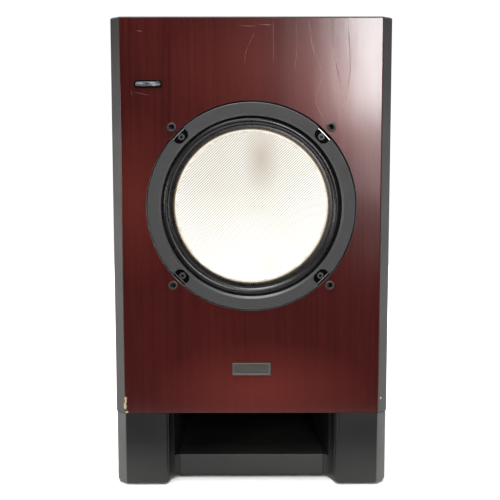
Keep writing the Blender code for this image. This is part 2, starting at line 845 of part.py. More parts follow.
def heat_sink(finish):
    """Extruded fins that run up the outside of the plate."""
    foot, base, tip, fins, fin = AMP_FACE_Y + GAP, 0.003, 0.0115, 12, 0.0016
    half = HEAT_SINK_HALF_WIDTH
    pitch = (2 * half - fin) / (fins - 1)
    outline = [(half, foot), (-half, foot)]
    for k in range(fins):
        left = -half + k * pitch
        outline += [(left, foot + tip), (left + fin, foot + tip)]
        if k < fins - 1:
            outline += [(left + fin, foot + base), (left + pitch, foot + base)]
    shape = bmesh.new()
    prism(shape, outline, "Z", HEAT_SINK_BOTTOM, HEAT_SINK_TOP)
    add_object("heat_sink", shape, finish)


def knob(name, x, finish):
    """Ribbed cap with a pointer groove, moulded in one with the shaft that turns in its control."""
    ribs, low, high = 20, AMP_FACE_Y + 0.0022, DEPTH / 2
    outline = []
    for k in range(2 * ribs):
        a = math.pi * k / ribs
        radius = KNOB_RADIUS - (0.0006 if k % 2 else 0)
        outline.append((radius * math.cos(a), radius * math.sin(a)))
    place = (x, 0, KNOB_Z)
    shape = bmesh.new()
    prism(shape, outline, "Y", low, high)
    cap = add_object(name, shape, finish, place)
    tools = bmesh.new()
    rod(tools, (0, 0), BUSH_RADIUS + 0.0006, "Y", low - 0.01, low + 0.002)
    box(tools, (-0.0006, high - 0.0007, 0.0045), (0.0006, high + 0.01, KNOB_RADIUS + 0.001))
    subtract(cap, cutter(name + "_cutter", tools, place))
    stem = bmesh.new()
    rod(stem, (0, 0), BUSH_BORE - GAP, "Y", AMP_FACE_Y - 0.005, low + 0.004, 12)
    join(cap, cutter(name + "_stem", stem, place))


def control(name, x, finish):
    """Rotary control behind the plate: a square body and the bush that its shaft turns in."""
    shape = bmesh.new()
    box(shape, (x - 0.008, BACK_Y - 0.012, KNOB_Z - 0.008), (x + 0.008, BACK_Y - 0.002, KNOB_Z + 0.008))
    body = add_object(name, shape, finish)
    neck = bmesh.new()
    rod(neck, (x, KNOB_Z), BUSH_RADIUS, "Y", BACK_Y - 0.005, AMP_FACE_Y + 0.0036, 16)
    join(body, cutter(name + "_neck", neck))
    bore = bmesh.new()
    rod(bore, (x, KNOB_Z), BUSH_BORE, "Y", AMP_FACE_Y - 0.006, AMP_FACE_Y + 0.01, 16)
    subtract(body, cutter(name + "_bore", bore))


def phase_switch(body_finish, slider_finish):
    """A slide switch seen through its slot in the plate."""
    low, high = BACK_Y - 0.008, BACK_Y + 0.0017
    centre = (PHASE_X, KNOB_Z)
    shell = rounded(0.0122, 0.0056, 0.0003, 1, centre)
    well = rounded(0.0100, 0.0034, 0.0002, 1, centre)
    shape = bmesh.new()
    stack(shape, [(shell, low), (shell, high), (well, high), (well, high - 0.0030)])
    add_object("phase_switch_body", shape, body_finish)
    shape = bmesh.new()
    box(shape, (-0.0020, 0, -0.0014), (0.0020, 0.0052, 0.0014))
    add_object("phase_slider", shape, slider_finish, (PHASE_X - PHASE_TRAVEL / 2, high - 0.0027, KNOB_Z))


def power_switch(body_finish, rocker_finish):
    """A flanged frame through the plate, and a rocker that tips about the middle of the frame."""
    rim, centre = AMP_FACE_Y + 0.0018, (ROCKER_X, POWER_Z)
    shell = rounded(0.0128, 0.0188, 0.0006, 1, centre)
    flange = rounded(0.0150, 0.0210, 0.0010, 1, centre)
    well = rounded(0.0100, 0.0160, 0.0003, 1, centre)
    rings = [(shell, BACK_Y - 0.014), (shell, AMP_FACE_Y + GAP), (flange, AMP_FACE_Y + GAP)]
    rings += [(flange, rim), (well, rim), (well, rim - 0.010)]
    shape = bmesh.new()
    stack(shape, rings)
    add_object("power_switch_body", shape, body_finish)
    face = [(0.0026, 0.0069), (0.0014, 0.0035), (0.0010, 0), (0.0014, -0.0035), (0.0026, -0.0069)]
    shape = bmesh.new()
    prism(shape, [(-0.0030, 0.0052), *face, (-0.0030, -0.0052)], "X", -0.0046, 0.0046)
    tip = Matrix.Rotation(math.radians(ROCKER_TIP), 3, "X")
    bmesh.ops.rotate(shape, verts=shape.verts, cent=(0, 0, 0), matrix=tip)
    add_object("power_rocker", shape, rocker_finish, (ROCKER_X, rim - 0.0012, POWER_Z))


def input_jacks(finish):
    """A moulded block behind the plate that carries two coaxial sockets through it."""
    middle = sum(JACK_XS) / 2
    shape = bmesh.new()
    box(shape, (middle - 0.019, BACK_Y - 0.012, JACK_Z - 0.007), (middle + 0.019, BACK_Y, JACK_Z + 0.007))
    block = add_object("input_jack_block", shape, finish)
    sockets = bmesh.new()
    for x in JACK_XS:
        profile = [
            (0, BACK_Y - 0.005),
            (0.0048, BACK_Y - 0.005),
            (0.0048, AMP_FACE_Y + 0.0012),
            (0.0041, AMP_FACE_Y + 0.0012),
            (0.0041, AMP_FACE_Y + 0.0090),
            (0.0017, AMP_FACE_Y + 0.0090),
            (0.0017, AMP_FACE_Y - 0.0010),
            (0, AMP_FACE_Y - 0.0010),
        ]
        lathe(sockets, profile, 16, "Y", (x, JACK_Z), closed=False)
    join(block, cutter("jack_sockets", sockets))


def power_inlet(finish):
    """Flanged socket with two contact pins, for a detachable mains lead."""
    rim, centre = AMP_FACE_Y + 0.0018, (INLET_X, POWER_Z)
    shell = rounded(0.0216, 0.0146, 0.0020, 4, centre)
    flange = rounded(0.0240, 0.0170, 0.0030, 4, centre)
    well = rounded(0.0160, 0.0084, 0.0038, 4, centre)
    rings = [(shell, BACK_Y - 0.014), (shell, AMP_FACE_Y + GAP), (flange, AMP_FACE_Y + GAP)]
    rings += [(flange, rim), (well, rim), (well, rim - 0.011)]
    shape = bmesh.new()
    stack(shape, rings)
    inlet = add_object("power_inlet", shape, finish)
    pins = bmesh.new()
    for side in (-1, 1):
        rod(pins, (INLET_X + side * 0.0043, POWER_Z), 0.0012, "Y", rim - 0.013, rim - 0.002, 12)
    join(inlet, cutter("inlet_pins", pins))


def main_board(finish):
    """Populated board: pillars, smoothing capacitors, and a heat spreader with its transistors."""
    back = BACK_Y - BOARD_STANDOFF
    shape = bmesh.new()
    box(shape, (-0.068, back, 0.203), (0.068, back + 0.0016, 0.338))
    board = add_object("main_board", shape, finish)
    parts = bmesh.new()
    for place in ((-0.060, 0.211), (-0.060, 0.330), (0.060, 0.211), (0.060, 0.330)):
        rod(parts, place, 0.0030, "Y", back + 0.0010, BACK_Y, 10)
    for x in (-0.042, -0.014, 0.014):
        rod(parts, (x, 0.312), 0.0110, "Y", back - 0.032, back + 0.0010, 16)
    join(board, cutter("board_parts", parts))
    spreader = bmesh.new()
    outline = [(-0.050, 0), (0.050, 0), (0.050, -0.003), (-0.047, -0.003)]
    outline += [(-0.047, -BOARD_STANDOFF + 0.001), (-0.050, -BOARD_STANDOFF + 0.001)]
    prism(spreader, [(x, BACK_Y + y) for x, y in outline], "Z", 0.225, 0.285)
    join(board, cutter("heat_spreader", spreader))
    transistors = bmesh.new()
    for z in (0.236, 0.255, 0.274):
        box(transistors, (-0.0475, BACK_Y - 0.026, z - 0.008), (-0.0420, BACK_Y - 0.008, z + 0.008))
    join(board, cutter("power_transistors", transistors))


def transformer(finish):
    """Laminated core with its winding, on a folded bracket fixed to the plate."""
    floor = AMP_BOTTOM + AMP_MARGIN + 0.005
    shape = bmesh.new()
    box(shape, (-0.030, 0.105, floor), (0.030, 0.145, floor + 0.050))
    core = add_object("transformer", shape, finish)
    winding = bmesh.new()
    prism(winding, rounded(0.038, 0.053, 0.006, 3, (0, 0.125)), "Z", floor + 0.0105, floor + 0.0395)
    join(core, cutter("transformer_winding", winding))
    bracket = bmesh.new()
    outline = [(BACK_Y, floor - 0.0012), (BACK_Y, floor + 0.050), (BACK_Y - 0.0015, floor + 0.050)]
    outline += [(BACK_Y - 0.0015, floor + 0.0003), (0.103, floor + 0.0003), (0.103, floor - 0.0012)]
    prism(bracket, outline, "X", -0.022, 0.022)
    join(core, cutter("transformer_bracket", bracket))


def speaker_lead(finish):
    """Twin lead along the right wall, from the main board to the woofer's tag strip."""
    board = BACK_Y - BOARD_STANDOFF
    route = [
        (0.052, board - 0.0015, 0.235),
        (0.056, board - 0.025, 0.232),
        (0.070, 0.085, 0.205),
        (0.074, 0.020, 0.185),
        (0.074, -0.045, 0.186),
        (0.050, -0.085, 0.190),
        (0.024, FACE_Y + 0.100, 0.198),
        (0.0085, FACE_Y + 0.0790, 0.2155),
    ]
    tube_object("speaker_lead", [route], 0.0022, finish)


# ---------------------------------------------------------------- assembly


def make_finishes():
    return {
        "veneer": material("veneer", (0.16, 0.035, 0.022), 0.28),
        "black_paint": material("black_paint", (0.030, 0.027, 0.025), 0.42),
        "fibreboard": material("fibreboard", (0.36, 0.25, 0.15), 0.85),
        "textured_plastic": material("textured_plastic", (0.085, 0.088, 0.088), 0.62),
        "black_plastic": material("black_plastic", (0.020, 0.020, 0.021), 0.45),
        "black_steel": material("black_steel", (0.022, 0.022, 0.023), 0.38, 0.6),
        "rubber": material("rubber", (0.018, 0.018, 0.019), 0.50),
        "woven_fibre": material("woven_fibre", (0.82, 0.78, 0.68), 0.35),
        "aluminium": material("aluminium", (0.72, 0.72, 0.74), 0.35, 1.0),
        "steel": material("steel", (0.55, 0.55, 0.56), 0.40, 1.0),
        "ferrite": material("ferrite", (0.055, 0.055, 0.060), 0.60),
        "copper": material("copper", (0.62, 0.28, 0.14), 0.35, 1.0),
        "cloth": material("cloth", (0.55, 0.38, 0.16), 0.85),
        "board": material("board", (0.05, 0.14, 0.07), 0.50),
        "badge_metal": material("badge_metal", (0.10, 0.10, 0.095), 0.40, 0.8),
        "wadding": material("wadding", (0.60, 0.60, 0.57), 0.95),
    }


def main():
    for obj in list(bpy.data.objects):
        bpy.data.objects.remove(obj)
    f = make_finishes()

    front_baffle(f["veneer"])
    cabinet_panels(f["black_paint"])
    rear_panel(f["black_paint"])
    window_brace(f["fibreboard"])
    slot_duct(f["black_plastic"])
    damping_mat(f["wadding"])

    foot_block("left_foot", -1, f["black_paint"])
    foot_block("right_foot", 1, f["black_paint"])
    slot_boards(f["black_paint"])
    rubber_pads(f["rubber"])

    grille_sockets(f["rubber"])
    badges(f["badge_metal"], f["aluminium"])
    woofer(f)

    amp_plate(f["black_steel"])
    amp_screws(f["black_steel"])
    heat_sink(f["black_steel"])
    knob("level_knob", LEVEL_X, f["black_plastic"])
    knob("cutoff_knob", CUTOFF_X, f["black_plastic"])
    control("level_control", LEVEL_X, f["steel"])
    control("cutoff_control", CUTOFF_X, f["steel"])
    phase_switch(f["steel"], f["black_plastic"])
    power_switch(f["black_plastic"], f["black_plastic"])
    input_jacks(f["black_plastic"])
    power_inlet(f["black_plastic"])
    main_board(f["board"])
    transformer(f["steel"])
    speaker_lead(f["black_plastic"])


main()
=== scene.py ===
"""Looks of a powered subwoofer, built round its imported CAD: veneered front, woven cone, slotted plinth."""

import json
import math

import bmesh
import bpy
import numpy as np
from mathutils import Matrix, Vector


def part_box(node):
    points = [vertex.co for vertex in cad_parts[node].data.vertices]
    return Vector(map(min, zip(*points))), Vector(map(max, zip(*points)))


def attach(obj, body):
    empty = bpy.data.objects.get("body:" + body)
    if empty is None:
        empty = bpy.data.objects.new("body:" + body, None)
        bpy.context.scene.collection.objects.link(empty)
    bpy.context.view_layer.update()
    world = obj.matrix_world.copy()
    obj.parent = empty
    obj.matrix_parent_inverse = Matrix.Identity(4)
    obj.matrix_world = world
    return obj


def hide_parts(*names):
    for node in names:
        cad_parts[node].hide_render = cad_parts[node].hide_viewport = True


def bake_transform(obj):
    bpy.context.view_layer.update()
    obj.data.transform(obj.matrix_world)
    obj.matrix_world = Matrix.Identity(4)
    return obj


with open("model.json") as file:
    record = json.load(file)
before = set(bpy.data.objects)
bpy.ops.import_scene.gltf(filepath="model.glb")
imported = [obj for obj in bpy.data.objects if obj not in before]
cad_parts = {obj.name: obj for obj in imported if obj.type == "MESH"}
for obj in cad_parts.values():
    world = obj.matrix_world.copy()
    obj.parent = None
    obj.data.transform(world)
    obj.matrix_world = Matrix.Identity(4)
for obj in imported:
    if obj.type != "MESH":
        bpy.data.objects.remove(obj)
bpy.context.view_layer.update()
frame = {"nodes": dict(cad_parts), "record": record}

NODE_BODY = {
    node: body for body, nodes in frame["record"]["behaviour"]["bodies"].items() for node in nodes
}

# Places read from the frame.
BAFFLE_LOW, BAFFLE_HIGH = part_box("front_baffle")
FACE = BAFFLE_LOW.y
HALF_WIDTH = BAFFLE_HIGH.x
BASE_TOP = BAFFLE_LOW.z
TOP = BAFFLE_HIGH.z
RING_LOW, RING_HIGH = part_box("trim_ring")
AXIS = Vector(((RING_LOW.x + RING_HIGH.x) / 2, FACE, (RING_LOW.z + RING_HIGH.z) / 2))
RING_OUTER = (RING_HIGH.x - RING_LOW.x) / 2
PROUD = FACE - RING_LOW.y
PLATE_LOW, PLATE_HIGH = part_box("amp_plate")
PLATE_FACE = PLATE_HIGH.y

CHAMFER = 0.010
RING_INNER = 0.0888
REBATE_RADIUS = 0.1032
REBATE_DEPTH = 0.0085
CUTOUT_RADIUS = 0.0925
ROLL_MIDDLE = 0.0843
ROLL_HALF_WIDTH = 0.0043
ROLL_BASE = 0.0070
ROLL_HEIGHT = 0.0050
RUBBER = 0.0009
CONE_RADIUS = 0.0757
CONE_RIM = 0.0725
CONE_EDGE_DEPTH = 0.0060
CONE_DISH = 0.024
CONE_THICKNESS = 0.0009
SCREW_RADIUS = 0.0962
SOCKET_BORE = 0.0037
SOCKET_BORE_DEPTH = 0.0133
MOUTH_HALF_WIDTH = 0.0842  # of the slot, between the feet, at the front
PAD_RECESS = 0.0123
SCREW_WELL = 0.0062  # radius of the well under each plinth screw
BEYOND = 0.002  # how far a cutter runs past the surface that it opens


# ---------------------------------------------------------------- materials


def colour(code):
    """Linear colour of a hexadecimal sRGB code."""
    levels = [int(code[k : k + 2], 16) / 255 for k in (1, 3, 5)]
    linear = [x / 12.92 if x <= 0.04045 else ((x + 0.055) / 1.055) ** 2.4 for x in levels]
    return (*linear, 1.0)


class Nodes:
    """A node tree, with short ways to add linked nodes. A text value is a hexadecimal colour."""

    def __init__(self, tree):
        self.nodes, self.links = tree.nodes, tree.links

    def add(self, kind, inputs=(), **settings):
        node = self.nodes.new("ShaderNode" + kind)
        for key, value in settings.items():
            setattr(node, key, value)
        for socket, value in dict(inputs).items():
            self.feed(node.inputs[socket], value)
        return node

    def feed(self, socket, value):
        if isinstance(value, bpy.types.NodeSocket):
            self.links.new(value, socket)
        elif isinstance(value, str):
            socket.default_value = colour(value)
        elif isinstance(value, (int, float)) and socket.type == "RGBA":
            socket.default_value = (value, value, value, 1.0)
        else:
            socket.default_value = value

    def ramp(self, factor, *stops):
        """Colours or grey levels along a factor."""
        node = self.add("ValToRGB", {"Fac": factor})
        ramp = node.color_ramp
        while len(ramp.elements) < len(stops):
            ramp.elements.new(0.5)
        for element, (position, value) in zip(ramp.elements, stops):
            element.position = position
            element.color = colour(value) if isinstance(value, str) else (value, value, value, 1.0)
        return node.outputs["Color"]


class Finish(Nodes):
    """A procedural material under construction."""

    def __init__(self, name, **levels):
        self.material = bpy.data.materials.new(name)
        self.material.use_nodes = True
        super().__init__(self.material.node_tree)
        self.shader = self.nodes["Principled BSDF"]
        for label, value in levels.items():
            self.shader.inputs[label.replace("_", " ").title().replace("Ior", "IOR")].default_value = value

    def to(self, label, value):
        self.feed(self.shader.inputs[label], value)
        return self

    def place(self, scale=(1, 1, 1), turn=(0, 0, 0), shift=(0, 0, 0)):
        """Object coordinates, stretched, turned and moved."""
        source = self.add("TexCoord").outputs["Object"]
        inputs = {"Vector": source, "Scale": scale, "Rotation": turn, "Location": shift}
        return self.add("Mapping", inputs).outputs[0]

    def noise(self, scale, stretch=(1, 1, 1), detail=3.0, roughness=0.5):
        inputs = {"Vector": self.place(stretch), "Scale": scale, "Detail": detail, "Roughness": roughness}
        return self.add("TexNoise", inputs).outputs["Fac"]

    def cells(self, scale, stretch=(1, 1, 1)):
        return self.add("TexVoronoi", {"Vector": self.place(stretch), "Scale": scale}).outputs["Distance"]

    def math(self, operation, a, b=0.0):
        return self.add("Math", {0: a, 1: b}, operation=operation).outputs[0]

    def mix(self, factor, a, b):
        node = self.add("Mix", data_type="RGBA")
        self.feed(node.inputs["Factor"], factor)
        self.feed(node.inputs[6], a)
        self.feed(node.inputs[7], b)
        return node.outputs[2]

    def wash(self, tone, *layers):
        """The tone under layers of other colours, each laid on by its share."""
        for share, shade in layers:
            tone = self.mix(share, tone, shade)
        return tone

    def bump(self, height, distance, strength=1.0, under=None):
        inputs = {"Height": height, "Distance": distance, "Strength": strength}
        if under:
            inputs["Normal"] = under
        return self.add("Bump", inputs).outputs["Normal"]

    def reach(self, centre, size):
        """Distance from the centre of a blob, 1 at its rim."""
        scale = [1 / s for s in size]
        scaled = self.place(scale, shift=[-c / s for c, s in zip(centre, size)])
        return self.add("VectorMath", {0: scaled}, operation="LENGTH").outputs["Value"]

    def spot(self, centre, size, ragged):
        """1 inside a ragged blob, 0 outside it."""
        wobble = self.math("MULTIPLY", self.math("SUBTRACT", self.noise(ragged, detail=4), 0.5), 2.4)
        edge = self.math("ADD", self.reach(centre, size), wobble)
        return self.ramp(edge, (0.85, 1.0), (1.0, 0.0))

    def haze(self, centre, size, most):
        """A soft blob: the given share at its centre, fading to 0."""
        return self.ramp(self.reach(centre, size), (0.1, most), (1.0, 0.0))


CHIPS = (
    ((-0.1264, FACE + 0.0008, 0.0890), (0.0014, 0.006, 0.0028)),
    ((-0.1268, FACE + 0.0010, 0.0825), (0.0015, 0.006, 0.0040)),
    ((-0.1255, FACE, 0.0757), (0.0020, 0.006, 0.0012)),
    ((0.1300, FACE + 0.0030, 0.0893), (0.0011, 0.006, 0.0012)),
)


def chipped(finish, paint, normal):
    """Bare board where the edges of the front are knocked."""
    mask = 0.0
    for centre, size in CHIPS:
        mask = finish.math("MAXIMUM", mask, finish.spot(centre, size, 700))
    fibres = finish.ramp(finish.noise(2500), (0.35, "#7d6c4e"), (0.65, "#b5a685"))
    finish.to("Base Color", finish.mix(mask, paint, fibres))
    finish.to("Normal", finish.bump(finish.math("MULTIPLY", mask, -1.0), 0.0006, 0.7, normal))


def veneer():
    """Red-brown veneer: straight vertical grain, slow changes of tone, and a hard glossy coat over it. Some
    of the warm lighter patches are painted reflection, and the darker left edge is painted shade.
    """
    coat = {"coat_weight": 1.0, "coat_roughness": 0.15, "coat_ior": 1.36, "specular_ior_level": 0.0}
    finish = Finish("veneer", roughness=0.42, **coat)
    streaks = finish.noise(330, (1, 1, 0.018), detail=7, roughness=0.66)
    pores = finish.noise(1300, (1, 1, 0.035), detail=3, roughness=0.7)
    bands = finish.noise(22, (1, 1, 0.20), detail=3)
    clouds = finish.noise(7, detail=2)
    place = finish.add("SeparateXYZ", {0: finish.place()}).outputs
    across = finish.add("MapRange", {"Value": place["X"], "From Min": -0.13, "From Max": 0.13})
    tone = finish.wash(
        finish.ramp(streaks, (0.30, "#2b0c0b"), (0.50, "#3d1412"), (0.72, "#4c1d1a")),
        (finish.ramp(bands, (0.35, 0.0), (0.7, 0.55)), "#4a1b18"),
        (finish.ramp(clouds, (0.32, 0.0), (0.72, 0.5)), "#2d0e0d"),
        (finish.ramp(pores, (0.30, 0.5), (0.42, 0.0)), "#1c0705"),
        (finish.ramp(place["Z"], (0.08, 0.55), (0.30, 0.15), (0.46, 0.0)), "#331211"),
        # Painted shade: darker towards the left edge of the front.
        (finish.ramp(across.outputs[0], (0.0, 0.25), (0.35, 0.0)), "#321010"),
        # Lighter warm patches, partly wood tone and partly painted reflection: top middle, beside the glare
        # at the upper right, by the left edge, and low in the middle.
        (finish.haze((0.01, FACE, 0.42), (0.09, 1, 0.07), 0.55), "#5c2620"),
        (finish.haze((0.085, FACE, 0.40), (0.06, 1, 0.09), 0.6), "#743430"),
        (finish.haze((-0.115, FACE, 0.29), (0.05, 1, 0.09), 0.5), "#5c2620"),
        (finish.haze((0.01, FACE, 0.10), (0.11, 1, 0.05), 0.5), "#642a24"),
    )
    chipped(finish, tone, finish.bump(streaks, 0.00012, 0.25))
    waves = finish.bump(finish.noise(38, (1, 1, 0.35), detail=2), 0.0010, 0.10)
    grooves = finish.bump(streaks, 0.00008, 0.10, waves)
    finish.to("Coat Normal", finish.bump(finish.noise(900, detail=2), 0.00005, 0.10, grooves))
    finish.to("Roughness", finish.ramp(pores, (0.3, 0.55), (0.6, 0.38)))
    return finish.material


def lifted_lacquer_painted_highlight():
    """Lacquer that has cracked and lifted along hairlines, paler than the wood below it: partly the lifted
    coat, partly a painted highlight on the raised ridges.
    """
    finish = Finish("lifted_lacquer_painted_highlight", roughness=0.40, coat_weight=0.3, coat_roughness=0.2)
    # Painted highlight: the hairlines are paler to stand for the light on their raised ridges.
    finish.to("Base Color", finish.ramp(finish.noise(90, detail=4), (0.38, "#6d433d"), (0.62, "#9f7e79")))
    finish.to("Normal", finish.bump(finish.noise(700, detail=3), 0.0001, 0.3))
    return finish.material


def satin_black(name, low, high, speckle=0.10, chips=False, gloss=0.35, painted_floor_bounce=False):
    """Sprayed satin paint with a faint orange peel and rubbed patches; a painted bounce light from the floor
    can lighten it towards the bottom.
    """
    finish = Finish(name, roughness=0.4, specular_ior_level=gloss)
    tone = finish.ramp(finish.noise(14, detail=4), (0.3, low), (0.7, high))
    specks = finish.ramp(finish.noise(2600, detail=2), (0.62, 0.0), (0.75, speckle))
    tone = finish.mix(specks, tone, "#8f8c86")
    # Painted light: the bounce from the pale floor lightens the paint towards the bottom.
    if painted_floor_bounce:
        height = finish.add("SeparateXYZ", {0: finish.place()}).outputs["Z"]
        tone = finish.mix(finish.ramp(height, (0.002, 0.55), (0.045, 0.0)), tone, "#333532")
    peel = finish.bump(finish.noise(1500, detail=2), 0.00010, 0.18)
    finish.to("Base Color", tone).to("Normal", peel)
    scuffs = finish.noise(30, detail=6, roughness=0.7)
    finish.to("Roughness", finish.ramp(scuffs, (0.35, 0.38), (0.7, 0.47)))
    if chips:
        chipped(finish, tone, peel)
    return finish.material


def moulded(name, low, high, roughness, grain=0.5, size=3200):
    """Textured moulded plastic."""
    finish = Finish(name, roughness=roughness)
    finish.to("Base Color", finish.ramp(finish.noise(size / 2, detail=3), (0.32, low), (0.68, high)))
    finish.to("Normal", finish.bump(finish.cells(size), 0.00012, grain))
    smear = finish.noise(60, detail=4)
    finish.to("Roughness", finish.ramp(smear, (0.3, roughness - 0.06), (0.7, min(1.0, roughness + 0.08))))
    return finish.material


def rubber(name="rubber", low="#050506", high="#0c0c0d", roughness=0.28):
    finish = Finish(name, roughness=roughness, sheen_weight=0.05)
    bloom = finish.noise(90, detail=5, roughness=0.6)
    finish.to("Base Color", finish.ramp(bloom, (0.3, low), (0.72, high)))
    finish.to("Roughness", finish.ramp(bloom, (0.3, roughness - 0.03), (0.75, roughness + 0.05)))
    finish.to("Normal", finish.bump(finish.noise(1800, detail=2), 0.00004, 0.08))
    return finish.material


def metal(name, low, high, roughness, stretch=(1, 1, 1), metallic=1.0, scale=900, gloss=0.5):
    """Bare or plated metal; the stretch gives it the direction of its brushing or rolling."""
    finish = Finish(name, roughness=roughness, metallic=metallic, specular_ior_level=gloss)
    lines = finish.noise(scale, stretch, detail=4, roughness=0.6)
    finish.to("Base Color", finish.ramp(lines, (0.3, low), (0.7, high)))
    finish.to("Roughness", finish.ramp(lines, (0.3, max(0.05, roughness - 0.08)), (0.7, roughness + 0.1)))
    finish.to("Normal", finish.bump(lines, 0.00005, 0.25))
    return finish.material


TWILL_PITCH = 0.0019


def woven_fibre():
    """Ivory twill set in resin: bright diagonal ribs, each broken where the crossing yarns dive under it."""
    finish = Finish("woven_fibre", roughness=0.5, coat_weight=0.12, coat_roughness=0.35)
    ways = []
    for turn, pitch, height in ((-1, TWILL_PITCH, 0.40), (1, TWILL_PITCH * 0.62, 0.10)):
        line = finish.add("SeparateXYZ", {0: finish.place(turn=(0, turn * math.pi / 4, 0))}).outputs["X"]
        wave = finish.math("SINE", finish.math("MULTIPLY", line, 2 * math.pi / pitch))
        ways.append(finish.math("MULTIPLY", wave, height))
    level = finish.math("ADD", finish.math("ADD", *ways), 0.5)
    cloth = finish.ramp(level, (0.06, "#979183"), (0.34, "#d6d2c5"), (0.62, "#f7f5ef"), (0.9, "#fcfbf8"))
    x, z = AXIS.x, AXIS.z
    tone = finish.wash(
        cloth,
        (finish.ramp(finish.noise(24, detail=3), (0.48, 0.0), (0.75, 0.20)), "#d2c6ac"),
        # Painted reflection: a darker tan patch at the upper middle stands for a dark reflection in the dish,
        # and a warm patch at the lower right for a warm one.
        (finish.haze((x + 0.010, FACE, z + 0.048), (0.020, 1, 0.040), 0.75), "#bdb2a2"),
        (finish.haze((x + 0.018, FACE, z - 0.060), (0.022, 1, 0.018), 0.55), "#d8bf9c"),
    )
    finish.to("Base Color", tone)
    finish.to("Normal", finish.bump(level, 0.00025, 0.45))
    return finish.material


def rim_resin():
    """Resin that gathers at the cone's rim."""
    finish = Finish("rim_resin", roughness=0.28, coat_weight=0.4, coat_roughness=0.15)
    finish.to("Base Color", finish.ramp(finish.noise(120, detail=3), (0.3, "#cbc6b8"), (0.7, "#e6e3da")))
    finish.to("Normal", finish.bump(finish.noise(700, detail=2), 0.00008, 0.2))
    return finish.material


def fibres(name, low, high, scale=1800, roughness=0.85, stretch=(1, 1, 1)):
    """Matted or woven threads: wadding, impregnated cloth, frayed yarn ends."""
    finish = Finish(name, roughness=roughness, sheen_weight=0.2)
    threads = finish.noise(scale, stretch, detail=6, roughness=0.7)
    finish.to("Base Color", finish.ramp(threads, (0.32, low), (0.68, high)))
    finish.to("Normal", finish.bump(threads, 0.0004, 0.6))
    return finish.material


def circuit_board():
    """Green board with blocks of track."""
    finish = Finish("circuit_board", roughness=0.35, coat_weight=0.3, coat_roughness=0.2)
    flat = finish.place(turn=(math.pi / 2, 0, 0))
    shades = {"Color1": "#1d4a2c", "Color2": "#245a36", "Mortar": "#12331d"}
    tracks = finish.add("TexBrick", {"Vector": flat, "Scale": 120, **shades})
    finish.to("Base Color", tracks.outputs["Color"])
    finish.to("Normal", finish.bump(tracks.outputs["Fac"], 0.0002, 0.4))
    return finish.material


def worn_silver():
    """Plating rubbed through in short strokes."""
    finish = Finish("worn_silver", roughness=0.35, metallic=0.8)
    scratch = finish.noise(900, (0.15, 1, 1), detail=6, roughness=0.75)
    finish.to("Base Color", finish.ramp(scratch, (0.38, "#15161a"), (0.50, "#5a5c62"), (0.62, "#c0c2c8")))
    finish.to("Roughness", finish.ramp(scratch, (0.3, 0.25), (0.7, 0.55)))
    finish.to("Normal", finish.bump(scratch, 0.00015, 0.6))
    return finish.material


